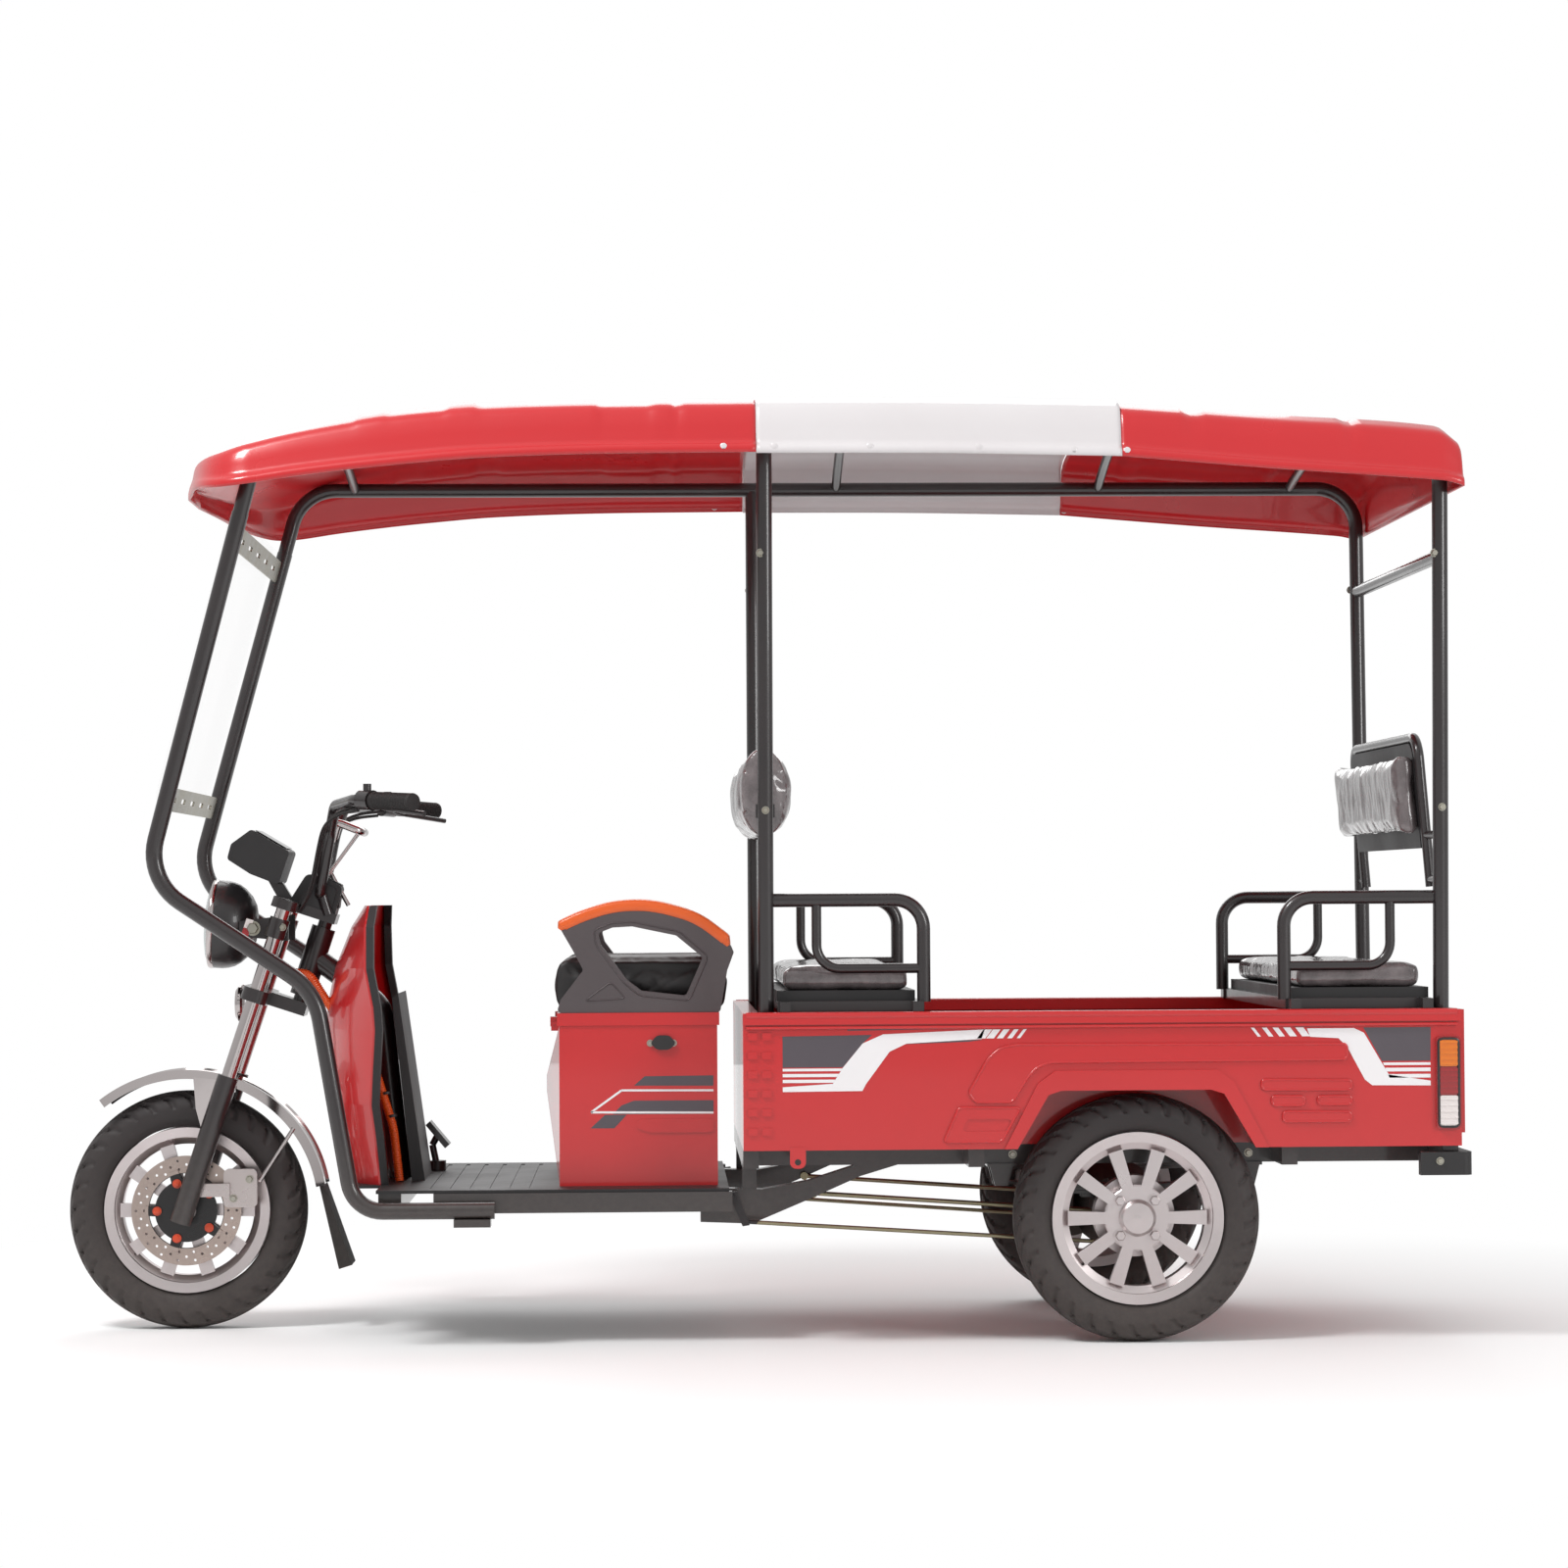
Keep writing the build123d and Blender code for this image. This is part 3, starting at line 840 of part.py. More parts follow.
def driver_seat():
    """Lid with a turned rim, knuckles on the fixed pins, a pad and two open arms."""
    low = SEAT_BOX_TOP_Z + SEAT_GAP
    top = SEAT_BOX_TOP_Z + LID_H
    half = SEAT_BOX_HALF_W + 3.0
    rear = SEAT_REAR_X - 4.0
    front = SEAT_FRONT_X + 4.0
    lid = block((rear, front), (-half, half), (low, top))
    lid = lid - block((rear + 22, front - 22), (-half + 22, half - 22), (low - 1, top - 8))
    lugs = []
    for y in (-180.0, 180.0):
        lid = lid - block((SEAT_FRONT_X - 1, front + 1), (y - 36, y + 36), (low - 1, LID_PIN_Z + 10))
        knuckle = block((SEAT_FRONT_X - 6, LID_PIN_X + 6), (y - 13, y + 13), (LID_PIN_Z - 6, LID_PIN_Z + 13))
        knuckle = knuckle - bar((LID_PIN_X, y - 20, LID_PIN_Z), (LID_PIN_X, y + 20, LID_PIN_Z), 3.5 + RUN_FIT)
        lugs.append(knuckle - block((rear, LID_PIN_X - 7), (y - 20, y + 20), (LID_PIN_Z - 9, low)))
    save("seat_lid", lid + lugs)
    rail = [(x - 73.0 + SEAT_REAR_X, z - 607.0 + SEAT_BOX_TOP_Z) for x, z in (
        (384, 632.3), (376, 658), (332, 715), (352, 753), (379, 800), (341, 811), (275, 832), (199, 834),
        (110, 810), (46, 762), (40, 748), (53, 713), (67, 632.3))]
    hole = [(x - 73.0 + SEAT_REAR_X, z - 607.0 + SEAT_BOX_TOP_Z) for x, z in (
        (304, 786), (275, 797), (237, 799), (152, 781), (100, 738), (133, 664), (219, 674), (247, 695), (298, 764))]
    y = SEAT_BOX_HALF_W - ARM_T
    arm = side_plate(rail, y, ARM_T, 7.0) - side_plate(hole, y - 1, ARM_T + 2, 8.0)
    save("seat_arms", *both(arm))
    pad_top = [(x - 73.0 + SEAT_REAR_X, z - 607.0 + SEAT_BOX_TOP_Z) for x, z in (
        (379, 800.2), (341, 811.2), (275, 832.2), (199, 834.2), (110, 810.2), (46, 762.2),
        (40, 774), (108, 828), (199, 853), (275, 851), (341, 829), (378, 812))]
    save("seat_arm_pads", *both(side_plate(pad_top, y + 1, ARM_T - 2)))
    cushion = block((rear - 22, front + 12), (-y + 6, y - 6), (top + SEAT_GAP, top + SEAT_H))
    cushion = fillet(cushion.edges().filter_by(Axis.Y), 24.0)
    save("seat_pad", cushion)


# Leg shield sections from the floor up: z, front ridge x, side edge x, half width, all x from the front axle
SHIELD = (
    (FLOOR_Z + FLOOR_T, -306.5, -395.5, 235.0),
    (390.0, -287.5, -387.5, 252.0),
    (455.0, -279.5, -379.5, 262.0),
    (520.0, -275.0, -382.5, 268.0),
    (600.0, -274.5, -387.5, 276.0),
    (645.0, -278.5, -384.5, 280.0),
    (720.0, -294.5, -370.5, 280.0),
    (800.0, -327.5, -369.5, 262.0),
    (842.0, -355.5, -373.5, 225.0),
)


CONDUIT_R = 9.0
CLAMP_W = 52.0
# Route of the wiring conduit from the head tube down behind the shield to the floor, and its bend radii
CONDUIT = (
    (905.0, 16.0, 700.0), (932.0, 52.0, 709.0), (882.0, 62.0, 709.0), (852.0, 68.0, 660.0), (800.0, 104.0, 590.0),
    (752.0, 138.0, 575.0), (746.0, 140.0, 520.0), (710.0, 140.0, 405.0), (698.0, 140.0, FLOOR_Z),
)
CONDUIT_BENDS = [16.0, 26.0, 26.0, 26.0, 24.0, 26.0, 40.0]


def shield_section(z, ridge, edge, half, t):
    """Bow-shaped strip of thickness t at height z."""
    a, b = FRONT_AXLE_X + edge, FRONT_AXLE_X + ridge
    outline = [
        ThreePointArc((a, -half, z), (b, 0, z), (a, half, z)),
        Line((a, half, z), (a - t, half, z)),
        ThreePointArc((a - t, half, z), (b - t, 0, z), (a - t, -half, z)),
        Line((a - t, -half, z), (a, -half, z)),
    ]
    return make_face(outline)


def front_apron():
    """Leg shield, its trim, the inner cover, foot board, pedal and the wiring conduit."""
    neck = bar((steer_x(740.0), 0, 740.0), (BACKBONE_X, 0, 640.0), SPINE_R + 4.0)
    conduit = bent_bar(CONDUIT, CONDUIT_BENDS, CONDUIT_R)
    board_top = FLOOR_Z + FLOOR_T + SEAT_GAP
    neck_tube = bar((steer_x(HEAD_LOW_Z), 0, HEAD_LOW_Z), (steer_x(HEAD_HIGH_Z), 0, HEAD_HIGH_Z), HEAD_TUBE_R + SEAT_GAP)
    conduit = conduit - [block((600, 800), (100, 200), (board_top - 40, board_top)), neck_tube]
    save("wiring_conduit", max(conduit.solids(), key=lambda part: part.volume))
    dip = bar((FRONT_AXLE_X - 450, 0, SHIELD[-1][0] + 60), (FRONT_AXLE_X - 250, 0, SHIELD[-1][0] + 60), 105.0)
    hole = bent_bar(CONDUIT, CONDUIT_BENDS, CONDUIT_R + 1.5)
    shield = loft([shield_section(*row, 4.0) for row in SHIELD], ruled=True) - [neck, dip, hole]
    save("leg_shield", max(shield.solids(), key=lambda part: part.volume))
    trims = []
    for s in (-1, 1):
        cuts = []
        for z, _, edge, half in SHIELD:
            x = FRONT_AXLE_X + edge - 4.0 - SEAT_GAP
            y = s * half
            cuts.append(make_face(Polyline((x, y + s * 2, z), (x - 14, y + s * 2, z), (x - 14, y - s * 26, z),
                                           (x, y - s * 26, z), close=True).edges()))
        trims.append(loft(cuts, ruled=True))
    cover = [(-414.0, 660.0), (-426.0, 668.0), (-478.0, FLOOR_Z + FLOOR_T), (-452.0, FLOOR_Z + FLOOR_T)]
    cover = [(FRONT_AXLE_X + x, z) for x, z in cover]
    save("inner_cover", side_plate(cover, -120.0, 240.0), *trims)
    board_front = FRONT_AXLE_X - 400.0
    board = block((SEAT_REAR_X - 20, board_front), (-RAIL_Y - 8, RAIL_Y + 8), (FLOOR_Z, FLOOR_Z + FLOOR_T))
    grooves = []
    for i in range(6):
        x = SEAT_FRONT_X + 50.0 + 38.0 * i
        grooves.append(block((x, x + 8), (-RAIL_Y + 40, RAIL_Y - 40), (FLOOR_Z + FLOOR_T - 1.5, FLOOR_Z + FLOOR_T + 1)))
    notch = block((BACKBONE_X - 40 - SPINE_R - 6, board_front + 12), (-SPINE_R - 4, SPINE_R + 4), (FLOOR_Z - 1, FLOOR_Z + 9))
    tongue = block((board_front - 1, FRONT_AXLE_X - 330.0), (-240, 240), (FLOOR_Z, FLOOR_Z + FLOOR_T))
    save("foot_board", board + tongue - grooves - notch)
    px = FRONT_AXLE_X - 480.0
    py = -175.0
    base = FLOOR_Z + FLOOR_T
    lever = bar((px - 6, py, base + 5), (px + 4, py, 350), 7.0)
    boot = Pos(px - 6, py, base) * Cylinder(18.0, 20.0, align=(Align.CENTER, Align.CENTER, Align.MIN))
    pad = Pos(px - 8, py, 372) * Rot(0, 40, 0) * Box(12, 60, 62)
    post = bar((px + 4, py, 350), (px - 8, py, 372), 7.0)
    save("brake_pedal", lever + [boot, pad, post])


def steering():
    """Fork, clamps, handlebar and everything that turns with the front wheel."""
    axle = (FRONT_AXLE_X, AXLE_Z)
    low_x = steer_x(AXLE_Z + 4, FORK_OFFSET)
    up = Vector(*STEER_DIR)
    legs, tubes = [], []
    for s in (-1, 1):
        y = s * FORK_HALF
        foot = Vector(axle[0], y, axle[1]) - up * 22.0
        top = Vector(steer_x(SLIDER_TOP_Z, FORK_OFFSET), y, SLIDER_TOP_Z)
        legs.append(bar(tuple(foot), tuple(top), SLIDER_R) - bar(tuple(top - up * 60), tuple(top + up * 5), STANCHION_R + RUN_FIT))
        peak = Vector(steer_x(UPPER_CLAMP_Z + 24, FORK_OFFSET), y, UPPER_CLAMP_Z + 24)
        tubes.append(bar(tuple(top - up * 60), tuple(peak), STANCHION_R))
    pin = bar((axle[0], -FORK_HALF - 4, axle[1]), (axle[0], FORK_HALF + 4, axle[1]), FRONT_AXLE_R)
    spacers = [bar((axle[0], s * FORK_HALF, axle[1]), (axle[0], s * (46 + 12), axle[1]), 14.0) for s in (-1, 1)]
    save("fork_legs", legs[0] + [legs[1], pin] + spacers)
    save("fork_tubes", *tubes)
    clamps = []
    for z, t in ((LOWER_CLAMP_Z, 26.0), (UPPER_CLAMP_Z, 20.0)):
        cx = steer_x(z)
        plane = Plane(origin=(cx, 0, z), x_dir=(0, 1, 0), z_dir=STEER_DIR)
        outline = plane * (RectangleRounded(2 * FORK_HALF + CLAMP_W, CLAMP_W, 20.0).moved(Location((0, -FORK_OFFSET)))
                           + Pos(0, -FORK_OFFSET / 2) * Rectangle(80.0, FORK_OFFSET + 40))
        plate = extrude(outline, amount=t / 2, both=True)
        for s in (-1, 1):
            fx = steer_x(z, FORK_OFFSET)
            plate = plate - bar((fx + 60 * RAKE_SIN, s * FORK_HALF, z - 60 * RAKE_COS),
                                (fx - 60 * RAKE_SIN, s * FORK_HALF, z + 60 * RAKE_COS), STANCHION_R + RUN_FIT)
        clamps.append(plate)
    stem = bar((steer_x(LOWER_CLAMP_Z), 0, LOWER_CLAMP_Z), (steer_x(UPPER_CLAMP_Z), 0, UPPER_CLAMP_Z), STEM_R)
    rise_x = steer_x(UPPER_CLAMP_Z) - 6.0
    tip = (FRONT_AXLE_X - 471.5, GRIP_END_Y, GRIP_Z)
    half_path = [tip, (FRONT_AXLE_X - 352.5, 262.0, GRIP_Z + 8), (FRONT_AXLE_X - 301.5, 110.0, GRIP_Z),
                 (FRONT_AXLE_X - 287.5, 60.0, GRIP_Z - 55), (rise_x + 18, 48.0, UPPER_CLAMP_Z + 44)]
    path = half_path + [(x, -y, z) for x, y, z in reversed(half_path)]
    radii = [60.0, 40.0, 40.0, 24.0]
    handle = bent_bar(path, radii + radii[::-1], BAR_R)
    risers = [bar((rise_x + 2, s * 34, UPPER_CLAMP_Z + 4), (rise_x + 16, s * 34, UPPER_CLAMP_Z + 50), 11.0)
              for s in (-1, 1)]
    save("handlebar", handle + [r - clamps[1] for r in risers])
    key_box = side_plate([(886, 862), (860, 905), (820, 884), (826, 836), (868, 836)], -21.0, 42.0, 4.0)
    save("key_switch", key_box - bar((rise_x + 18, -60, UPPER_CLAMP_Z + 44), (rise_x + 18, 60, UPPER_CLAMP_Z + 44), BAR_R + SEAT_GAP))
    grips = []
    for s in (-1, 1):
        tip = Vector(half_path[0][0], s * half_path[0][1], half_path[0][2])
        inner = Vector(half_path[1][0], s * half_path[1][1], half_path[1][2])
        run = (inner - tip).normalized()
        start = tip - run * 4.0
        grips.append(bar(tuple(start), tuple(tip + run * (GRIP_LEN - 4.0)), GRIP_R)
                     - bar(tuple(tip), tuple(inner), BAR_R + RUN_FIT))
    save("grips", *grips)
    levers = []
    for s in (-1, 1):
        tip = Vector(half_path[0][0], s * half_path[0][1], half_path[0][2])
        inner = Vector(half_path[1][0], s * half_path[1][1], half_path[1][2])
        run = (inner - tip).normalized()
        out = Vector(-s * run.Y, s * run.X, 0).normalized() * (-1)
        clamp_a, clamp_b = tip + run * (GRIP_LEN - 3.0), tip + run * (GRIP_LEN + 31.0)
        mid = tip + run * (GRIP_LEN + 14.0)
        ring_body = bar(tuple(clamp_a), tuple(clamp_b), 20.0)
        knee = mid + out * 36.0 + Vector(0, 0, -14)
        blade = bent_bar([tuple(mid + out * 12.0 + Vector(0, 0, -6)), tuple(knee), tuple(knee - run * 128.0 + Vector(0, 0, -8))],
                         [22.0], 5.0)
        boss = bar(tuple(mid), tuple(mid + Vector(0, 0, 32)), 8.0)
        levers.append(ring_body + [blade, boss] - bar(tuple(tip), tuple(inner), BAR_R + RUN_FIT))
    save("hand_levers", *levers)
    lamp_z = 798.0
    lamp_x = FRONT_AXLE_X - 40.0
    lamp_rear = lamp_x - 96.0
    bowl = ring([(0, 0), (36, 0), (54, 12), (76, 38), (87, 60), (90, 84), (84, 95), (56, 102), (0, 105)])
    lamp = Pos(lamp_rear, 0, lamp_z) * Rot(0, -4, 0) * Rot(0, 0, -90) * bowl
    pivot_z = lamp_z - 2.0
    save("headlight", lamp + bar((lamp_rear + 14, -72, pivot_z), (lamp_rear + 14, 72, pivot_z), 10.0))
    clip_x = steer_x(lamp_z, FORK_OFFSET)
    stays = []
    for s in (-1, 1):
        reach = [(clip_x - 20, lamp_z - 26), (lamp_rear + 28, lamp_z - 16), (lamp_rear + 28, lamp_z + 14),
                 (clip_x - 20, lamp_z + 26)]
        ear = side_plate(reach, 72.0 if s > 0 else -78.0, 6.0)
        collar = bar((clip_x + 20 * RAKE_SIN, s * FORK_HALF, lamp_z - 20 * RAKE_COS),
                     (clip_x - 20 * RAKE_SIN, s * FORK_HALF, lamp_z + 20 * RAKE_COS), STANCHION_R + 6)
        tube = bar((clip_x + 60 * RAKE_SIN, s * FORK_HALF, lamp_z - 60 * RAKE_COS),
                   (clip_x - 60 * RAKE_SIN, s * FORK_HALF, lamp_z + 60 * RAKE_COS), STANCHION_R + RUN_FIT)
        stays.append(ear + collar - tube)
    dash = side_plate([(FRONT_AXLE_X - 84, 936), (FRONT_AXLE_X - 92, 966), (FRONT_AXLE_X - 132, 995),
                       (FRONT_AXLE_X - 208, 950), (FRONT_AXLE_X - 186, 884), (FRONT_AXLE_X - 130, 906)], -75.0, 150.0, 8.0)
    save("instrument_cluster", dash)
    stalk_x = steer_x(UPPER_CLAMP_Z, FORK_OFFSET)
    stalk = side_plate([(stalk_x - 34, UPPER_CLAMP_Z + 6), (stalk_x - 6, UPPER_CLAMP_Z + 2), (stalk_x + 40, 905),
                        (stalk_x + 14, 905)], -12.0, 24.0) - [dash, clamps[1]]
    stalk = max(stalk.solids(), key=lambda part: part.volume)
    save("fork_clamps", clamps[0] + [clamps[1], stem], *stays, stalk)
    clamp_reach = FORK_OFFSET + CLAMP_W / 2
    edge_x = steer_x(LOWER_CLAMP_Z) + clamp_reach * RAKE_COS
    edge_z = LOWER_CLAMP_Z + clamp_reach * RAKE_SIN
    seat = Plane(origin=(edge_x, 0, edge_z), x_dir=(0, 1, 0), z_dir=(RAKE_COS, 0, RAKE_SIN))
    stud = seat * Pos(0, 0, SEAT_GAP) * Cylinder(9.0, 12.0, align=(Align.CENTER, Align.CENTER, Align.MIN))
    strap = block((edge_x + 6, edge_x + 11), (-10, 10), (edge_z - 30, edge_z + 10))
    dome = Pos(edge_x + 8, 0, edge_z - 27) * Rot(0, 0, -90) * ring([(0, 0), (30, 0), (36, 4), (36, 9), (28, 15), (0, 18)])
    save("horn", dome + [stud, strap])
    leg = bar(tuple(Vector(axle[0], FORK_HALF, axle[1]) - up * 22.0),
              (steer_x(SLIDER_TOP_Z, FORK_OFFSET), FORK_HALF, SLIDER_TOP_Z), SLIDER_R + SEAT_GAP)
    cx, cz = axle[0] - 109.0, axle[1] + 45.0
    outer = fillet(block((cx - 33, cx + 33), (53.0, 70.0), (cz - 38, cz + 38)).edges().filter_by(Axis.Y), 10.0)
    outer = outer - bar((axle[0], 40.0, axle[1]), (axle[0], 61.0, axle[1]), 88.0)
    inner_half = block((cx - 8, cx + 26), (36.0, 42.5), (cz - 26, cz + 26))
    bridge = block((cx - 15, cx - 5), (36.0, 56.0), (cz - 18, cz + 18))
    bracket = block((cx + 20, axle[0] - 20), (64.0, 82.0), (cz - 16, cz + 10)) - leg
    bracket = min(bracket.solids(), key=lambda part: part.center().X)
    save("brake_caliper", outer + [inner_half, bridge, bracket])


def front_fender():
    r_in = WHEEL_R + 33.0
    t = 3.0
    half = 56.0
    arch = ring([(r_in, -half + 14), (r_in + 8, -half + 6), (r_in - 8, -half), (r_in - 8, -half - t), (r_in + 10, -half + 3),
                 (r_in + t + 3, -half + 14), (r_in + t + 3, half - 14), (r_in + 10, half - 3), (r_in - 8, half + t),
                 (r_in - 8, half), (r_in + 8, half - 6), (r_in, half - 14)], 118.0, 52.0)
    leg_x = steer_x(478.0, FORK_OFFSET)
    lugs = []
    for s in (-1, 1):
        lug = block((leg_x - 18, leg_x + 18), sorted((s * 50, s * FORK_HALF)), (472.0, 484.0))
        lugs.append(lug - bar((leg_x + 30 * RAKE_SIN, s * FORK_HALF, 478 - 30 * RAKE_COS),
                              (leg_x - 30 * RAKE_SIN, s * FORK_HALF, 478 + 30 * RAKE_COS), SLIDER_R))
        lugs[-1] = min(lugs[-1].solids(), key=lambda part: abs(part.center().Y))
    fx = FRONT_AXLE_X
    leg_bar = [bar((steer_x(AXLE_Z - 20, FORK_OFFSET), s * FORK_HALF, AXLE_Z - 20),
                   (steer_x(SLIDER_TOP_Z, FORK_OFFSET), s * FORK_HALF, SLIDER_TOP_Z), SLIDER_R + SEAT_GAP) for s in (-1, 1)]
    flank = [(fx - 15, 503), (fx - 92, 494), (fx - 80, 440), (fx - 61, 384), (fx - 35, 384), (fx - 20, 440)]
    brackets = []
    for s in (-1, 1):
        plate = side_plate(flank, 57.0 if s > 0 else -61.0, 4.0)
        pad = block((fx - 60, fx - 36), sorted((s * 60, s * 80)), (386.0, 404.0)) - leg_bar
        brackets += [plate, min(pad.solids(), key=lambda part: abs(part.center().Y))]
    stay = bar((fx - 214, 60, AXLE_Z + 163), (fx - 145.8, 61, AXLE_Z + 57), 4.0)
    save("front_mudguard", wheel_at(arch, FRONT_AXLE_X, 0) + lugs + brackets + [stay])
    fx = FRONT_AXLE_X
    end = math.radians(170.0)
    top = [(fx + r * math.cos(end), AXLE_Z + r * math.sin(end) - SEAT_GAP) for r in (r_in + t + 3, r_in - 2)]
    flap = side_plate(top + [(fx - 302, 118), (fx - 328, 126)], -48.0, 96.0)
    save("mud_flap", flap)


hanger_plates = leaf_springs()
main_frame(hanger_plates)
front_wheel()
rear_wheels()
rear_axle()
brake_linkage()
loop_tubes = front_loops()
windscreen(loop_tubes)
post_lean = canopy_frame()
roof()
cargo_box()
tailgate()
lamps_and_bumper()
benches(post_lean)
battery_box()
driver_seat()
front_apron()
steering()
front_fender()
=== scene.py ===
import math

import bmesh
import bpy
from mathutils import Matrix, Vector, noise
from mathutils.bvhtree import BVHTree


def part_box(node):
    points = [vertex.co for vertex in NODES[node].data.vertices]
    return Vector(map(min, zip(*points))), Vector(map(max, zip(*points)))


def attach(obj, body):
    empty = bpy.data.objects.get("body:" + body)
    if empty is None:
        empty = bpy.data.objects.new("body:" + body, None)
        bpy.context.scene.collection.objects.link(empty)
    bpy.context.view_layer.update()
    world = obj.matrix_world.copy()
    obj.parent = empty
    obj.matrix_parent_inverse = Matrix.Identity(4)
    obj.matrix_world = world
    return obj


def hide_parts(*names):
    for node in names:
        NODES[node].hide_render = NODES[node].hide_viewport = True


# Looks of an electric passenger tricycle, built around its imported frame. Metres, X forward, Y left.

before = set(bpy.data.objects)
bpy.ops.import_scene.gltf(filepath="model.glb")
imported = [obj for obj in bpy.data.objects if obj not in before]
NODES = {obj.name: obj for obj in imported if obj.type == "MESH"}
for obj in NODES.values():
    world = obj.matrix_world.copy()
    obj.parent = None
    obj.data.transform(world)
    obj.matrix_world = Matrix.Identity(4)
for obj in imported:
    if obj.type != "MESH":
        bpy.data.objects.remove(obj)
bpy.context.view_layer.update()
SCENE = bpy.context.scene
MM = 0.001
# Middle of the front wheel
FRONT_AXLE_X, AXLE_Z = 1127.5, 237.0


def linear(hex_colour):
    """An sRGB hex colour as linear RGBA."""
    parts = [int(hex_colour[i:i + 2], 16) / 255 for i in (1, 3, 5)]
    return [c / 12.92 if c <= 0.04045 else ((c + 0.055) / 1.055) ** 2.4 for c in parts] + [1.0]


def add(tree, kind, settings=None, links=None):
    """Adds one node to a tree, sets its properties or input values, and feeds its inputs."""
    made = tree.nodes.new(kind)
    for key, value in (settings or {}).items():
        if isinstance(key, str) and hasattr(made, key):
            setattr(made, key, value)
        else:
            made.inputs[key].default_value = value
    for socket, source in (links or {}).items():
        tree.links.new(source, made.inputs[socket])
    return made


def surface(name, colour, rough, metal=0.0, coat=0.0, coat_rough=0.05, shade=None, cloud_mm=180.0,
            rough_swing=0.06, bump_mm=None, bump_depth_mm=0.05, squeeze=(1, 1, 1), dust=0.0, spot=None):
    """A made surface: a base colour that drifts towards a second one in soft clouds, roughness that varies,
    a fine relief of a real size, and road dust that thins out upwards. spot is (x, z, radius in mm, colour):
    inside that circle, seen from the side, the piece is painted instead of bare."""
    made = bpy.data.materials.new(name)
    made.use_nodes = True
    tree = made.node_tree
    tree.nodes.clear()
    place = add(tree, "ShaderNodeTexCoord").outputs["Object"]
    clouds = add(tree, "ShaderNodeTexNoise", {"Scale": 1000.0 / cloud_mm, "Detail": 4.0, "Roughness": 0.6},
                 {"Vector": place})
    tone = add(tree, "ShaderNodeMix", {"data_type": "RGBA", 6: linear(colour), 7: linear(shade or colour)},
               {0: clouds.outputs["Fac"]}).outputs[2]
    worn = add(tree, "ShaderNodeMapRange",
               {"From Min": 0.3, "From Max": 0.7, "To Min": rough - rough_swing,
                "To Max": rough + rough_swing}, {"Value": clouds.outputs["Fac"]}).outputs[0]
    if dust:
        height = add(tree, "ShaderNodeSeparateXYZ",
                     links={0: add(tree, "ShaderNodeNewGeometry").outputs["Position"]})
        low = add(tree, "ShaderNodeMapRange",
                  {"From Min": 0.45, "From Max": 0.02, "To Min": 0.0, "To Max": dust},
                  {"Value": height.outputs["Z"]}).outputs[0]
        specks = add(tree, "ShaderNodeTexNoise", {"Scale": 1000.0 / 14.0, "Detail": 8.0, "Roughness": 0.7},
                     {"Vector": place})
        share = add(tree, "ShaderNodeMath", {"operation": "MULTIPLY"},
                    {0: low, 1: specks.outputs["Fac"]}).outputs[0]
        tone = add(tree, "ShaderNodeMix", {"data_type": "RGBA", 7: linear("#9A8E84")},
                   {0: share, 6: tone}).outputs[2]
        worn = add(tree, "ShaderNodeMath", {"operation": "ADD", "use_clamp": True},
                   {0: worn, 1: share}).outputs[0]
    if spot:
        x, z, radius, paint = spot
        apart = add(tree, "ShaderNodeVectorMath", {"operation": "SUBTRACT", 1: (x * MM, 0.0, z * MM)},
                    {0: place})
        level = add(tree, "ShaderNodeVectorMath", {"operation": "MULTIPLY", 1: (1.0, 0.0, 1.0)},
                    {0: apart.outputs[0]})
        reach = add(tree, "ShaderNodeVectorMath", {"operation": "LENGTH"}, {0: level.outputs[0]})
        bare = add(tree, "ShaderNodeMapRange",
                   {"From Min": radius * MM, "From Max": (radius + 0.5) * MM, "To Max": metal},
                   {"Value": reach.outputs["Value"]}).outputs[0]
        tone = add(tree, "ShaderNodeMix", {"data_type": "RGBA", 6: linear(paint)},
                   {0: bare, 7: tone}).outputs[2]
    shader = add(tree, "ShaderNodeBsdfPrincipled",
                 {"Metallic": metal, "Coat Weight": coat, "Coat Roughness": coat_rough},
                 {"Base Color": tone, "Roughness": worn})
    if spot:
        tree.links.new(bare, shader.inputs["Metallic"])
    if bump_mm:
        stretched = add(tree, "ShaderNodeMapping", {"Scale": squeeze}, {"Vector": place})
        grain = add(tree, "ShaderNodeTexNoise", {"Scale": 1000.0 / bump_mm, "Detail": 3.0, "Roughness": 0.55},
                    {"Vector": stretched.outputs[0]})
        relief = add(tree, "ShaderNodeBump", {"Strength": 1.0, "Distance": bump_depth_mm * MM},
                     {"Height": grain.outputs["Fac"]})
        tree.links.new(relief.outputs[0], shader.inputs["Normal"])
    add(tree, "ShaderNodeOutputMaterial", links={"Surface": shader.outputs[0]})
    return made


# Stoved red enamel on pressed steel: a clear gloss over even colour, with slight orange peel.
RED_ENAMEL = surface("red_stoved_enamel_on_steel", "#C9181C", 0.30, coat=0.7, shade="#B91216", cloud_mm=420.0,
                     rough_swing=0.02, bump_mm=60.0, bump_depth_mm=0.25, dust=0.12)
# Vacuum-formed ABS, gloss on its outer face: softer reflections than the enamel.
RED_ABS = surface("red_formed_abs", "#CC2026", 0.32, coat=0.4, shade="#C2181F", bump_mm=22.0,
                  bump_depth_mm=0.12)
WHITE_ABS = surface("white_formed_abs", "#DEDADB", 0.34, coat=0.3, shade="#D5D0D1", bump_mm=22.0,
                    bump_depth_mm=0.12)
# Powder coat on welded steel tube: near-black brown, satin, fine pebbled skin.
POWDER_COAT = surface("black_powder_coat_on_tube", "#1A1415", 0.34, coat=0.6, coat_rough=0.1,
                      shade="#241C1D", bump_mm=1.4, bump_depth_mm=0.03, dust=0.3)
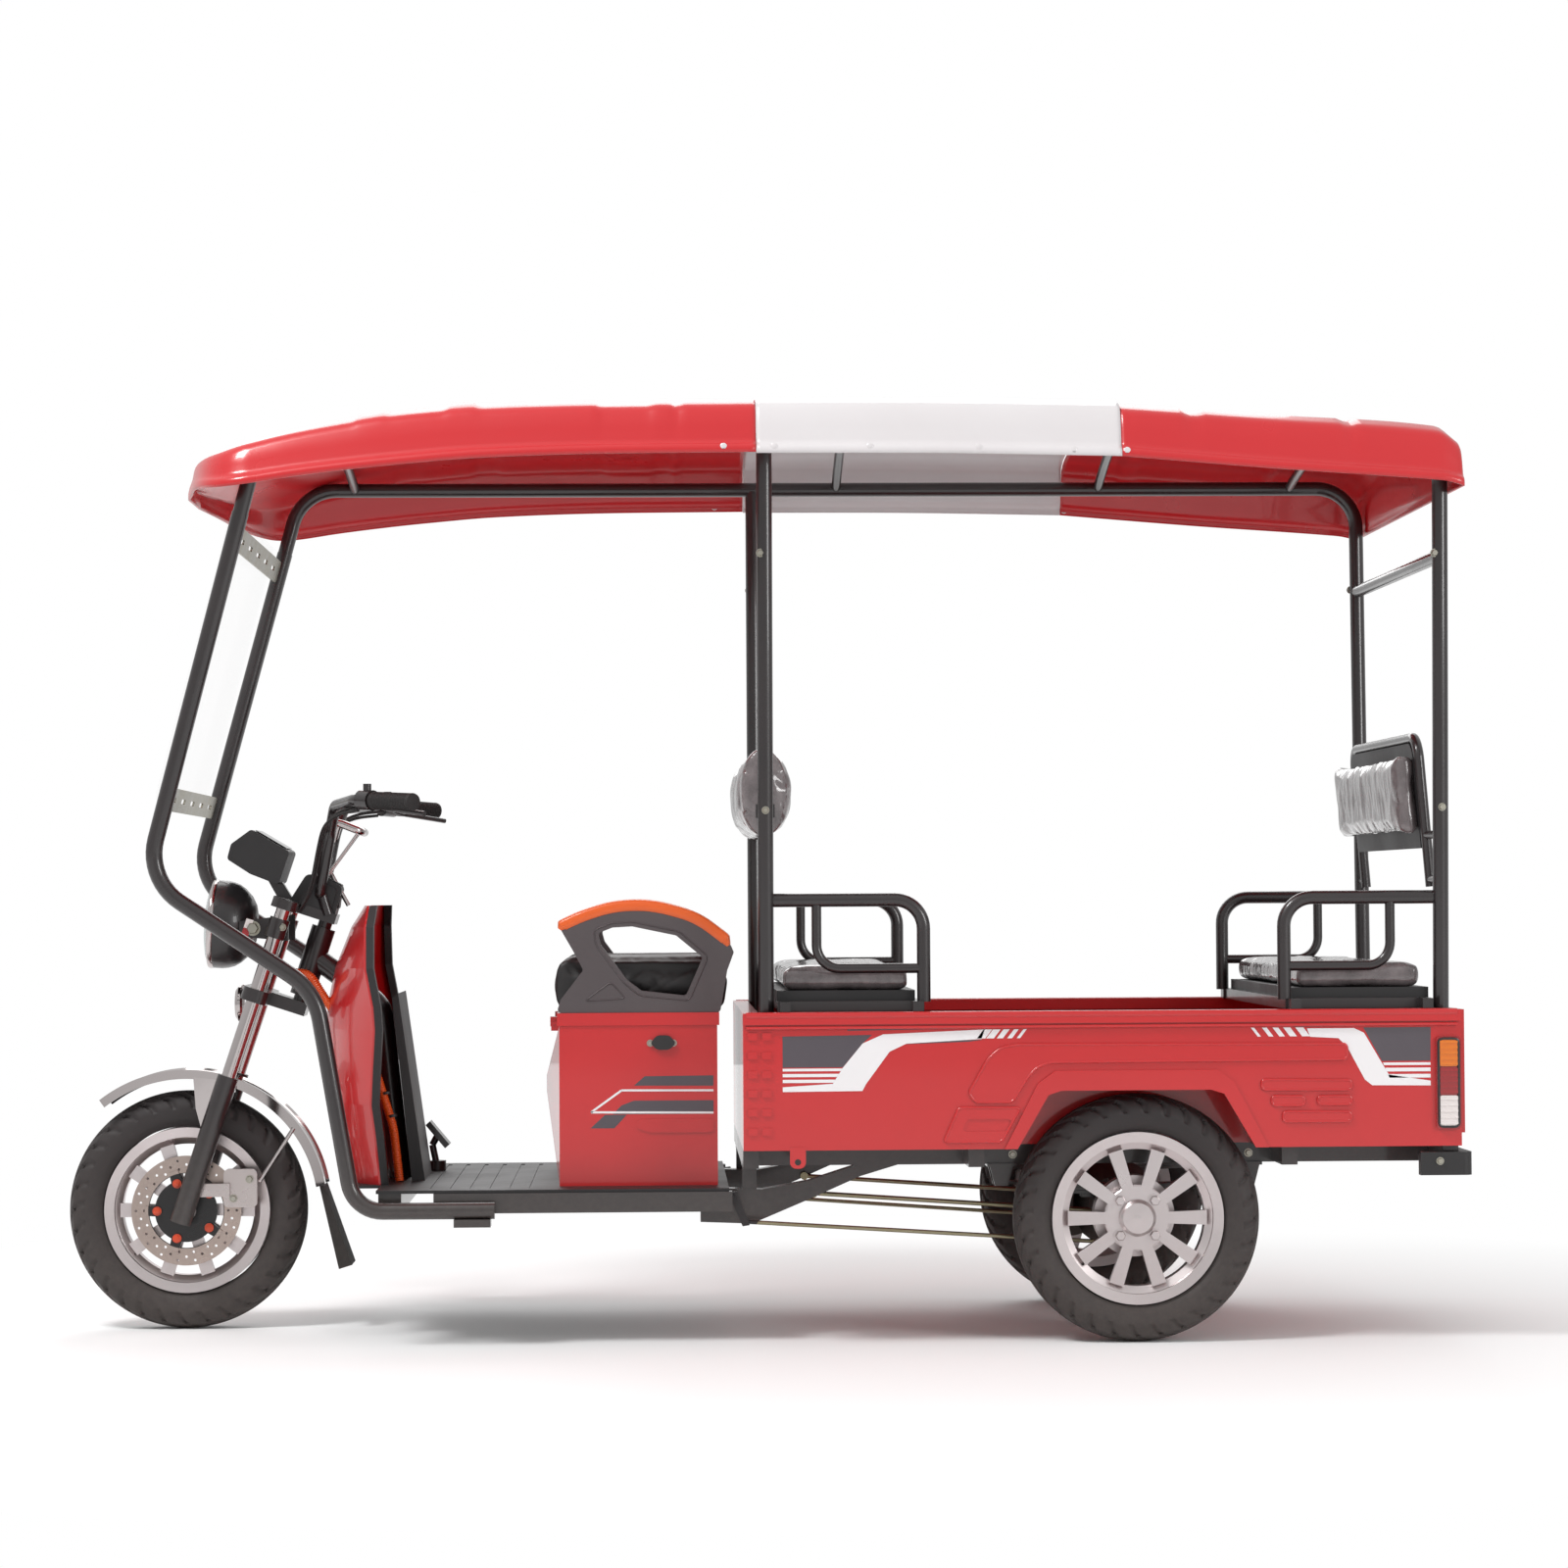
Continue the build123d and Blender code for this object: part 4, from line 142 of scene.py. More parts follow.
# Injection-moulded polypropylene: spark-textured, dull black.
BLACK_PP = surface("black_moulded_polypropylene", "#1B1A1B", 0.5, shade="#242223", bump_mm=1.0,
                   bump_depth_mm=0.05)
# Textured polypropylene of the seat's arms: dark grey-brown.
GREY_PP = surface("grey_moulded_polypropylene", "#4A4345", 0.48, shade="#544C4D", bump_mm=1.2,
                  bump_depth_mm=0.06)
# Skinned polyurethane foam: soft orange gloss.
ORANGE_PU = surface("orange_skinned_polyurethane", "#E8651F", 0.38, coat=0.2, shade="#DE5A1B", bump_mm=2.2,
                    bump_depth_mm=0.05)
# Vulcanised rubber of the tyres: matt, greyed by bloom and dust.
TYRE_RUBBER = surface("vulcanised_tyre_rubber", "#241F20", 0.62, shade="#302A2A", bump_mm=1.6,
                      bump_depth_mm=0.10, dust=0.22)
SOFT_RUBBER = surface("black_moulded_rubber", "#1A1818", 0.66, shade="#262222", bump_mm=1.5,
                      bump_depth_mm=0.08, dust=0.2)
# Cast aluminium, turned and lacquered on its faces: silver with a warm cast.
TURNED_ALLOY = surface("turned_lacquered_aluminium", "#D3CBCB", 0.30, metal=1.0, shade="#BFB6B6", bump_mm=0.8,
                       bump_depth_mm=0.02, dust=0.2)
# Stainless brake steel, ground: fine satin.
GROUND_STEEL = surface("ground_stainless_steel", "#C9C0BE", 0.28, metal=1.0, shade="#AFA5A3", bump_mm=0.7,
                       bump_depth_mm=0.02)
# The brake disc: ground steel ring on a black painted carrier.
BRAKE_DISC = surface("ground_brake_disc_with_painted_carrier", "#B7A79F", 0.3, metal=1.0, shade="#9F918A",
                     bump_mm=0.7, bump_depth_mm=0.02, spot=(FRONT_AXLE_X, AXLE_Z, 75.0, "#171516"))
# Bright chromium plate on polished steel: mirror reflections.
CHROME = surface("bright_chromium_plate", "#C4BDBC", 0.08, metal=1.0, shade="#B5AEAD", rough_swing=0.03)
# Zinc plate on mild steel rod and strip: pale grey with yellow passivation in clouds.
ZINC = surface("zinc_plated_mild_steel", "#ABAAA6", 0.34, metal=1.0, shade="#A9A48F", cloud_mm=40.0,
               bump_mm=1.0, bump_depth_mm=0.02)
# Brake linkage: zinc plated rods, and a black painted lever round its pivot.
LINKAGE = surface("zinc_plated_rods_with_painted_lever", "#A39F88", 0.36, metal=1.0, shade="#8C8466",
                  cloud_mm=40.0, bump_mm=1.0, bump_depth_mm=0.02, spot=(34.0, 254.0, 44.0, "#262122"))
# Grey cast iron and die-cast motor housing, painted dull black.
CAST_IRON = surface("painted_cast_iron", "#2E2C2C", 0.6, metal=0.3, shade="#3A3636", bump_mm=2.5,
                    bump_depth_mm=0.15, dust=0.5)
# Coated vinyl cloth of the seats: dull black with a fine leather grain.
VINYL = surface("black_coated_vinyl", "#1E1C1D", 0.5, shade="#2A2727", bump_mm=1.6, bump_depth_mm=0.09)
# Moulded polyamide conduit: bright orange, slightly waxy.
CONDUIT = surface("orange_polyamide_conduit", "#E05512", 0.42, shade="#D04A0E")
# Lamp covers: injection-moulded acrylic.
RED_LENS = surface("red_acrylic_lens", "#A3141A", 0.12, coat=0.8, shade="#8E1016")


def clear_pane(name, tint, rough=0.02, blend=0.08, gloss_share=0.05):
    """Clear sheet: light passes with a faint tint, and a share of it mirrors at a flat angle."""
    made = bpy.data.materials.new(name)
    made.use_nodes = True
    tree = made.node_tree
    tree.nodes.clear()
    through = add(tree, "ShaderNodeBsdfTransparent", {"Color": linear(tint)})
    gloss = add(tree, "ShaderNodeBsdfPrincipled", {"Base Color": linear(tint), "Roughness": rough})
    fresnel = add(tree, "ShaderNodeLayerWeight", {"Blend": blend}).outputs["Fresnel"]
    edge = add(tree, "ShaderNodeMath", {"operation": "MULTIPLY", 1: gloss_share}, {0: fresnel}).outputs[0]
    mixed = add(tree, "ShaderNodeMixShader", {}, {0: edge, 1: through.outputs[0], 2: gloss.outputs[0]})
    add(tree, "ShaderNodeOutputMaterial", links={"Surface": mixed.outputs[0]})
    return made


# Clear polycarbonate sheet of the windscreen.
CLEAR_SHEET = clear_pane("clear_polycarbonate_sheet", "#FFFFFF")

FINISHES = {
    RED_ENAMEL: ["box_sides", "box_front", "box_floor", "tailgate", "battery_box", "seat_lid", "leg_shield"],
    RED_ABS: ["roof_front", "roof_rear"],
    WHITE_ABS: ["roof_middle"],
    POWDER_COAT: ["main_frame", "head_tube", "front_loops", "canopy_rails", "canopy_posts", "canopy_bows",
                  "bench_frames", "leaf_springs", "brake_pedal", "floor_frame", "fork_legs", "fork_clamps",
                  "handlebar", "hand_levers"],
    BLACK_PP: ["rear_bumper", "bench_boards", "battery_pack", "inner_cover", "foot_board",
               "instrument_cluster", "key_switch"],
    GREY_PP: ["seat_arms"],
    ORANGE_PU: ["seat_arm_pads"],
    TYRE_RUBBER: ["front_tyre", "rear_left_tyre", "rear_right_tyre"],
    SOFT_RUBBER: ["grips", "mud_flap"],
    TURNED_ALLOY: ["front_rim", "rear_left_rim", "rear_right_rim"],
    GROUND_STEEL: ["brake_caliper"],
    BRAKE_DISC: ["front_brake_disc"],
    LINKAGE: ["brake_linkage"],
    CHROME: ["fork_tubes", "front_mudguard", "headlight", "horn"],
    ZINC: ["windscreen_rails"],
    CAST_IRON: ["rear_axle", "drive_motor"],
    VINYL: ["seat_pad", "bench_pads", "back_pads"],
    CONDUIT: ["wiring_conduit"],
    RED_LENS: ["tail_lamps"],
    CLEAR_SHEET: ["windscreen"],
}


def dress_nodes():
    """Gives every CAD node its finish."""
    for finish, names in FINISHES.items():
        for name in names:
            NODES[name].data.materials.clear()
            NODES[name].data.materials.append(finish)


# Satin paint on small castings and brackets.
TRIM_BLACK = surface("black_satin_paint_on_castings", "#1C1A1B", 0.35, coat=0.3, shade="#242122", bump_mm=2.0)
# Thread-locked bolt heads, dipped in orange paint.
ORANGE_PAINT = surface("orange_painted_bolt_heads", "#D8481E", 0.4, coat=0.3, shade="#C94018")
# Printed vinyl foil, cut to shape and stuck on the enamel.
WHITE_FOIL = surface("white_vinyl_foil", "#EFEDEE", 0.35, coat=0.3, shade="#E8E5E6")
DARK_FOIL = surface("dark_grey_vinyl_foil", "#4B444B", 0.38, coat=0.3, shade="#534C52")
AMBER_LENS = surface("amber_acrylic_lens", "#E27A12", 0.15, coat=0.8, shade="#D96E0E")
WHITE_LENS = surface("white_acrylic_lens", "#E9E2E0", 0.15, coat=0.8, shade="#DCD2CF")
# Smoked cover over the instruments.
DARK_GLASS = surface("smoked_display_glass", "#0C0C0E", 0.08, coat=1.0, shade="#111114")
# Vinyl cover seen through its thin polythene wrap: grey-brown, with long pale glints in the folds. The pale
# grey-brown of the base colour is painted glints of the wrap, drifting in clouds over the near-black of the
# vinyl itself.
WRAPPED_VINYL_PAINTED_GLINTS = surface("black_vinyl_under_wrap_with_painted_glints", "#94898A", 0.24, coat=1.0, coat_rough=0.07,
                        shade="#2A2425", cloud_mm=30.0, rough_swing=0.12, bump_mm=22.0,
                        bump_depth_mm=2.4, squeeze=(1.0, 1.0, 0.35))
# Lens of the headlight.
CLEAR_LENS = clear_pane("clear_polycarbonate_lens", "#F2F5F5", 0.05, 0.35, 0.5)


def piece(name, bm, finishes, body, angle=40.0, stands_for=()):
    """One shown piece from a mesh in millimetres: shaded smooth up to an angle, and riding a body."""
    bmesh.ops.remove_doubles(bm, verts=bm.verts, dist=0.002)
    bmesh.ops.recalc_face_normals(bm, faces=bm.faces)
    bmesh.ops.scale(bm, vec=(MM, MM, MM), verts=bm.verts)
    mesh = bpy.data.meshes.new(name)
    bm.to_mesh(mesh)
    bm.free()
    mesh.shade_smooth()
    mesh.set_sharp_from_angle(angle=math.radians(angle))
    for finish in finishes if isinstance(finishes, list) else [finishes]:
        mesh.materials.append(finish)
    obj = bpy.data.objects.new(name, mesh)
    SCENE.collection.objects.link(obj)
    if stands_for:
        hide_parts(*stands_for)
    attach(obj, body)
    return obj


def turn(bm, profile, steps, place, finish=0, shape=None, closed=False):
    """Turns a (radius, height) profile about the local Z axis of place; shape may move each point."""
    rings = []
    for k in range(steps):
        angle = 2 * math.pi * k / steps
        points = [shape(angle, i, r, h) if shape else (r, h) for i, (r, h) in enumerate(profile)]
        rings.append([bm.verts.new(place @ Vector((r * math.cos(angle), r * math.sin(angle), h)))
                      for r, h in points])
    last = len(profile) if closed else len(profile) - 1
    for k in range(steps):
        a, b = rings[k], rings[(k + 1) % steps]
        for i in range(last):
            j = (i + 1) % len(profile)
            face = bm.faces.new((a[i], b[i], b[j], a[j]))
            face.material_index = finish


def facing(point, direction):
    """A place at point whose Z axis looks along direction."""
    return Matrix.Translation(point) @ Vector(direction).to_track_quat("Z", "Y").to_matrix().to_4x4()


def rounded(corners, radius, count=5, closed=True):
    """The outline with each corner turned into an arc of about that radius."""
    points = [Vector(c) for c in corners]
    out = []
    for i, here in enumerate(points):
        if not closed and i in (0, len(points) - 1):
            out.append(here)
            continue
        before, after = points[i - 1], points[(i + 1) % len(points)]
        reach = min(radius, (before - here).length * 0.48, (after - here).length * 0.48)
        a = here + (before - here).normalized() * reach
        b = here + (after - here).normalized() * reach
        for k in range(count):
            t = k / (count - 1)
            out.append(a * (1 - t) ** 2 + here * 2 * t * (1 - t) + b * t ** 2)
    return out


def sweep(bm, path, radius, sides=12, finish=0, rib=None):
    """A round bar along a path; rib gives the radius at a distance along it."""
    rings = []
    up = Vector((0, 0, 1))
    travelled = 0.0
    for i, point in enumerate(path):
        ahead = (path[min(i + 1, len(path) - 1)] - path[max(i - 1, 0)]).normalized()
        side = ahead.cross(up)
        side = side.normalized() if side.length > 1e-4 else Vector((0, 1, 0))
        up = side.cross(ahead).normalized()
        travelled += (point - path[i - 1]).length if i else 0.0
        r = rib(travelled) if rib else radius
        angles = [2 * math.pi * k / sides for k in range(sides)]
        rings.append([bm.verts.new(point + (side * math.cos(a) + up * math.sin(a)) * r) for a in angles])
    for a, b in zip(rings, rings[1:]):
        for k in range(sides):
            face = bm.faces.new((a[k], a[(k + 1) % sides], b[(k + 1) % sides], b[k]))
            face.material_index = finish
    for end in (rings[0], rings[-1]):
        bm.faces.new(end).material_index = finish


def flat(corners, radius):
    """A flat outline with rounded corners, as pairs."""
    return [(p.x, p.y) for p in rounded(corners, radius)]


def sided(name, side):
    """A piece's name with the side that it is on."""
    return name + ("_left" if side > 0 else "_right")


def dense(path, step):
    """The same path with points every step."""
    out = [path[0]]
    for a, b in zip(path, path[1:]):
        count = max(1, round((b - a).length / step))
        out += [a.lerp(b, k / count) for k in range(1, count + 1)]
    return out


def foil(bm, outline, y, side, thick=0.35, finish=0):
    """A flat piece with an (x, z) outline on a wall that faces sideways."""
    low = [bm.verts.new((x, side * y, z)) for x, z in outline]
    high = [bm.verts.new((x, side * (y + thick), z)) for x, z in outline]
    bm.faces.new(high).material_index = finish
    for i in range(len(outline)):
        j = (i + 1) % len(outline)
        bm.faces.new((low[i], low[j], high[j], high[i])).material_index = finish


# One search tree for each node that pieces are seated on
TREES = {}


def wall_y(node, x, z, side):
    """Distance from the middle plane of the outermost face of a node, where a sideways line meets it."""
    if node not in TREES:
        TREES[node] = BVHTree.FromObject(NODES[node], bpy.context.evaluated_depsgraph_get())
    found = TREES[node].ray_cast(Vector((x * MM, side * 2.0, z * MM)), Vector((0, -side, 0)))[0]
    return abs(found.y) / MM if found else None


WASHER_T = 1.6


def bolt_head(bm, place, across, height):
    """A hexagon head with a chamfered top, on its washer."""
    r = across / 2 / math.cos(math.pi / 6)
    top = WASHER_T + height
    turn(bm, [(0, 0), (r * 1.3, 0), (r * 1.3, WASHER_T), (0, WASHER_T)], 20, place)
    turn(bm, [(r, WASHER_T), (r, WASHER_T + height * 0.8), (r * 0.86, top), (0, top)], 6, place)


def centre(node):
    """Middle of a CAD node's box, in millimetres."""
    low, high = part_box(node)
    return (Vector(low) + Vector(high)) / 2 / MM


# Tyre: radius at the crown, at the shoulder and at the bead, and the half widths there and at the widest
WHEEL_R, TREAD_R, FOOT_R = 237.0, 226.0, 167.0
TREAD_HALF, WALL_HALF, FOOT_HALF = 37.0, 46.0, 33.0
# Shoulder lugs round the tyre, the share of a lug that its slot takes, and the depth of the slots
LUGS, SLOT, GROOVE = 32, 0.26, 5.5
# Bolt circles of the brake disc and of the rear wheels, and the place of the front axle's nuts
DISC_BOLT_R, HUB_BOLT_R, HUB_BOLT_Y, AXLE_NUT_Y = 57.0, 47.0, 26.0, 99.0
VALVE_R, VALVE_Y = 157.0, 8.0


def tyre_profile():
    """Half outlines from the bead over the sidewall, and the tread between the shoulders."""
    wall = []
    for k in range(13):
        t = k / 12
        r = FOOT_R + (TREAD_R - FOOT_R) * t
        bulge = WALL_HALF - 0.5 * (FOOT_HALF + TREAD_HALF)
        h = FOOT_HALF * (1 - t) + TREAD_HALF * t + bulge * 4 * t * (1 - t)
        if k in (2, 3, 8):
            h += 0.7
        wall.append((r, min(h, WALL_HALF)))
    tread = []
    for k in range(1, 40):
        h = TREAD_HALF * (1 - k / 20)
        tread.append((TREAD_R + (WHEEL_R - TREAD_R) * (1 - (h / TREAD_HALF) ** 2), h))
    return wall + tread + [(r, -h) for r, h in reversed(wall)]


def tread(angle, i, r, h):
    """Shoulder lugs cut by slanted slots, and two zigzag grooves beside the middle rib."""
    turns = angle / (2 * math.pi) * LUGS
    reach = abs(h)
    if r < TREAD_R - 20.0:
        return r, h
    slot = (turns + (0.5 if h > 0 else 0.0) + 0.035 * (reach - 16.0)) % 1.0
    zigzag = 13.5 + 5.0 * abs((turns % 1.0) - 0.5)
    cut = 1.0 if reach > 17.0 and slot < SLOT else 0.0
    if abs(reach - zigzag) < 2.2 and reach < TREAD_HALF:
        cut = 1.0
    pull = math.copysign(3.0, h) * cut if reach > TREAD_HALF - 4.0 else 0.0
    return r - GROOVE * cut * (1.0 if r > TREAD_R - 4.0 else 0.4), h - pull


def wheels():
    """Tyres with their tread, valves, wheel nuts and the bolts of the brake disc."""
    for body, node in (("front_wheel", "front_tyre"), ("rear_left_wheel", "rear_left_tyre"),
                       ("rear_right_wheel", "rear_right_tyre")):
        middle = centre(node)
        side = -1 if middle.y < -1 else 1
        place = Matrix.Translation(middle) @ Matrix.Rotation(-side * math.pi / 2, 4, "X")
        bm = bmesh.new()
        turn(bm, tyre_profile(), LUGS * 10, place, shape=tread)
        piece(node + "_treaded", bm, TYRE_RUBBER, body, 32.0, [node])
        bm = bmesh.new()
        angle = math.radians(40.0)
        stem = place @ Vector((VALVE_R * math.cos(angle), VALVE_R * math.sin(angle), VALVE_Y))
        inward = place.to_3x3() @ Vector((-math.cos(angle), -math.sin(angle), 0.45))
        turn(bm, [(0, 0), (4.5, 0), (4.0, 12), (2.6, 14), (2.6, 26), (3.6, 27), (3.6, 33), (0, 34)], 12,
             facing(stem, inward))
        piece(node + "_valve", bm, SOFT_RUBBER, body)
        if body == "front_wheel":
            bm = bmesh.new()
            for end in (1, -1):
                spot = Vector((middle.x, end * AXLE_NUT_Y, middle.z))
                bolt_head(bm, facing(spot, (0, end, 0)), 22.0, 9.0)
            piece("front_axle_nuts", bm, ZINC, "steering", 30.0)
            continue
        bm = bmesh.new()
        for k in range(4):
            angle = math.radians(45 + 90 * k)
            spot = place @ Vector((HUB_BOLT_R * math.cos(angle), HUB_BOLT_R * math.sin(angle), HUB_BOLT_Y))
            bolt_head(bm, facing(spot, (0, side, 0)), 17.0, 11.0)
        piece(node.replace("tyre", "nuts"), bm, TURNED_ALLOY, body, 30.0)
    bm = bmesh.new()
    middle = centre("front_rim")
    for k in range(5):
        angle = math.radians(72.0 * k)
        x, z = middle.x + DISC_BOLT_R * math.cos(angle), middle.z + DISC_BOLT_R * math.sin(angle)
        bolt_head(bm, facing((x, wall_y("front_brake_disc", x, z, 1), z), (0, 1, 0)), 12.0, 2.4)
    piece("disc_bolts", bm, ORANGE_PAINT, "front_wheel", 30.0)


# Half width that the curve through the canopy's sections may not pass
CANOPY_HALF = 575.0
# Canopy sections from the nose to the tail: x, half width, lip, shoulder and crown heights. No x is a joint
# between two panels, which is taken from the nodes.
NOSE = ((1117.5, 90, 1650, 1682, 1686), (1095.5, 230, 1645, 1687, 1695), (1070.5, 400, 1638, 1693, 1708),
        (1042.5, 500, 1632, 1699, 1720), (1005.5, 555, 1628, 1707, 1733), (955.5, 575, 1632, 1722, 1750),
        (869.5, 575, 1645, 1744, 1773), (765.5, 575, 1658, 1764, 1793), (679.5, 575, 1667, 1778, 1806),
        (539.5, 575, 1679, 1790, 1818), (319.5, 575, 1687, 1797, 1825), (None, 575, 1690, 1800, 1828))
MIDDLE = ((None, 575, 1688, 1803, 1832), (-346, 575, 1687, 1802, 1831), (None, 575, 1681, 1796, 1825))
TAIL = ((None, 575, 1681, 1790, 1818), (-982, 575, 1657, 1770, 1798), (-1297, 575, 1634, 1748, 1774),
        (-1335, 571, 1626, 1722, 1746), (-1340, 567, 1624, 1712, 1735))
# Cross ribs and channels pressed into the canopy: from x, to x, height
RIBS = ((756, 690, 4.0), (586, 518, 6.0), (300, 190, -5.0), (160, 136, -6.0), (-810, -852, -6.0),
        (-1112, -1146, -6.0))
RIVETS = ((-35, 1700), (-215, 1700), (-420, 1698), (-600, 1693), (60, 1700), (-700, 1691))


def canopy_panel(name, node, rows, finish):
    """A formed shell with a flared lip, rounded shoulders and cross ribs."""
    low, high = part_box(node)
    ends = (high[0] / MM, low[0] / MM)
    rows = [(ends[i > 0] if row[0] is None else row[0],) + row[1:] for i, row in enumerate(rows)]
    stations = []
    for i in range(len(rows) - 1):
        a, b, c, d = rows[max(i - 1, 0)], rows[i], rows[i + 1], rows[min(i + 2, len(rows) - 1)]
        steps = max(2, round(abs(c[0] - b[0]) / 9.0))
        for k in range(steps + (i == len(rows) - 2)):
            t = k / steps
            mixed = [b[0] + (c[0] - b[0]) * t]
            for n in range(1, 5):
                ma, mc = (c[n] - a[n]) / max(abs(c[0] - a[0]), 1), (d[n] - b[n]) / max(abs(d[0] - b[0]), 1)
                run = abs(c[0] - b[0])
                mixed.append((2 * t ** 3 - 3 * t ** 2 + 1) * b[n] + (t ** 3 - 2 * t ** 2 + t) * ma * run
                             + (3 * t ** 2 - 2 * t ** 3) * c[n] + (t ** 3 - t ** 2) * mc * run)
            stations.append(mixed)
    bm = bmesh.new()
    rings = []
    for x, half, lip, shoulder, crown in stations:
        half = min(half, CANOPY_HALF)
        rib = 0.0
        for start, end, height in RIBS:
            rib += height * max(0.0, min(1.0, (start - x) / 9.0, (x - end) / 9.0))
        rise = shoulder - lip - 24
        dip = min(rib, 0)
        side = [(half, lip), (half, lip + 13), (half - 13, lip + 21),
                (half - 22 + 0.3 * dip, lip + 24 + 0.45 * rise),
                (half - 34 + 0.5 * dip, lip + 24 + 0.8 * rise + 0.5 * rib), (half - 80, shoulder - 2 + rib)]
        side = [(max(y, 5.0 * (6 - i)), z) for i, (y, z) in enumerate(side)]
        curve = rounded([Vector((y, z, 0)) for y, z in side], 14.0, 5, closed=False)
        turn_y, turn_z = side[-1]
        shares = [1 - k / 14 for k in range(1, 15)]
        top = [(turn_y * s, turn_z + (crown - shoulder + 2) * (1 - s ** 2)) for s in shares]
        outline = [(p.x, p.y) for p in curve] + top
        outline += [(-y, z) for y, z in reversed(outline[:-1])]
        rings.append([bm.verts.new((x, y, z)) for y, z in outline])
    for a, b in zip(rings, rings[1:]):
        for i in range(len(a) - 1):
            bm.faces.new((a[i], a[i + 1], b[i + 1], b[i]))
    for end, shut in ((rings[0], node == "roof_front"), (rings[-1], node == "roof_rear")):
        if shut:
            bm.faces.new(end)
    shell = piece(name, bm, finish, "chassis", 50.0, [node])
    thick = shell.modifiers.new("wall", "SOLIDIFY")
    thick.thickness = 4.0 * MM
    thick.offset = -1.0
    return shell


def canopy():
    """The three panels, and the rivets along their lips."""
    canopy_panel("canopy_front_shell", "roof_front", NOSE, RED_ABS)
    canopy_panel("canopy_middle_shell", "roof_middle", MIDDLE, WHITE_ABS)
    canopy_panel("canopy_rear_shell", "roof_rear", TAIL, RED_ABS)
    bm = bmesh.new()
    for side in (-1, 1):
        for x, z in RIVETS:
            turn(bm, [(0, 0), (7, 0), (7, 2.5), (5, 4), (0, 4)], 16, facing((x, side * 571, z), (0, side, 0)))
    piece("canopy_rivets", bm, WHITE_ABS, "chassis")


# Foils on the cargo box: outline points (x, z) of the white ones, which lie over the dark ones
WHITE_FOILS = (
    ((-48, 485), (-48, 494), (-143, 500), (-162, 530), (-200, 576), (-239, 593), (-432, 601), (-426, 583),
     (-283, 575), (-251, 560), (-206, 499), (-199, 486)),
    ((-48, 524), (-48, 529), (-162, 529), (-158, 524)),
    ((-48, 513), (-48, 519), (-155, 519), (-151, 513)),
    ((-48, 502), (-48, 508), (-148, 508), (-144, 502)),
    ((-1047, 599), (-1137, 599), (-1156, 590), (-1193, 527), (-1203, 510), (-1283, 498), (-1283, 489),
     (-1171, 490), (-1157, 501), (-1124, 563), (-1107, 580), (-1053, 583)),
    ((-1283, 528), (-1283, 533), (-1192, 533), (-1194, 528)),
    ((-1283, 516), (-1283, 523), (-1196, 523), (-1199, 516)),
    ((-1283, 504), (-1283, 511), (-1202, 511), (-1204, 504)),
)
DARK_FOILS = (
    ((-48, 531), (-48, 590), (-218, 592), (-200, 576), (-162, 531)),
    ((-171, 603), (-171, 600), (-460, 604), (-455, 606)),
    ((-277, 574), (-301, 578), (-432, 582), (-402, 578)),
    ((-1155, 600), (-1284, 600), (-1283, 536), (-1190, 536)),
    ((-1000, 609), (-1284, 609), (-1284, 604), (-1023, 602)),
)
# Slanted bars at the ends of the white foils: x, width, direction
SLANTS = ((-430, 18, 1), (-448, 16, 1), (-468, 13, 1), (-488, 10, 1), (-506, 7, 1),
          (-1040, 17, -1), (-1015, 15, -1), (-992, 12, -1), (-970, 10, -1), (-946, 7, -1))


# Battery box: dark foils, the corners of the white line, the raised panel and the lock's plate
BATTERY_FOILS = (
    ((214, 509), (235, 491), (81, 490), (81, 510)),
    ((276, 436), (259, 453), (235, 462), (81, 462), (81, 436)),
    ((291, 435), (319, 409), (273, 409), (249, 435)),
)
BATTERY_LINE = ((81, 481), (259, 482), (318, 440), (81, 438))
BATTERY_PANEL = ((81, 400), (81, 427), (222, 427), (231, 418), (228, 408), (206, 400))
LOCK_PLATE = ((153, 573), (166, 588), (190, 588), (203, 573), (190, 560), (166, 560))
# Dark foils lie on the paint, and white ones over them
FOIL_T, DARK_RISE, WHITE_RISE = 0.3, 0.05, 0.35


def foils():
    """Stripes and dark blocks on both boxes, and the battery box's raised panel and lock plate."""
    for side in (-1, 1):
        bm = bmesh.new()
        wall = wall_y("box_sides", -300.0, 440.0, side)
        for outline in DARK_FOILS:
            foil(bm, outline, wall + DARK_RISE, side, FOIL_T, 1)
        for outline in WHITE_FOILS:
            foil(bm, outline, wall + WHITE_RISE, side, FOIL_T, 0)
        for x, width, lean in SLANTS:
            end = x - width * lean * 0.9
            foil(bm, [(x, 601), (end, 601), (end + 13 * lean, 584), (x + 13 * lean, 584)],
                 wall + WHITE_RISE, side, FOIL_T)
        piece(sided("box_foils", side), bm, [WHITE_FOIL, DARK_FOIL], "chassis")
        bm = bmesh.new()
        wall = wall_y("battery_box", 180.0, 500.0, side)
        for outline in BATTERY_FOILS:
            foil(bm, outline, wall + DARK_RISE, side, FOIL_T, 1)
        for a, b in zip(BATTERY_LINE, BATTERY_LINE[1:]):
            run = (Vector(b) - Vector(a)).normalized() * 2.0
            foil(bm, [(a[0] + run.y, a[1] - run.x), (b[0] + run.y, b[1] - run.x),
                      (b[0] - run.y, b[1] + run.x), (a[0] - run.y, a[1] + run.x)],
                 wall + WHITE_RISE, side, FOIL_T)
        foil(bm, flat(BATTERY_PANEL, 9.0), wall + DARK_RISE, side, 2.2, 2)
        foil(bm, flat(LOCK_PLATE, 6.0), wall + DARK_RISE, side, 7.0, 3)
        piece(sided("battery_foils", side), bm, [WHITE_FOIL, DARK_FOIL, RED_ENAMEL, TRIM_BLACK], "chassis")


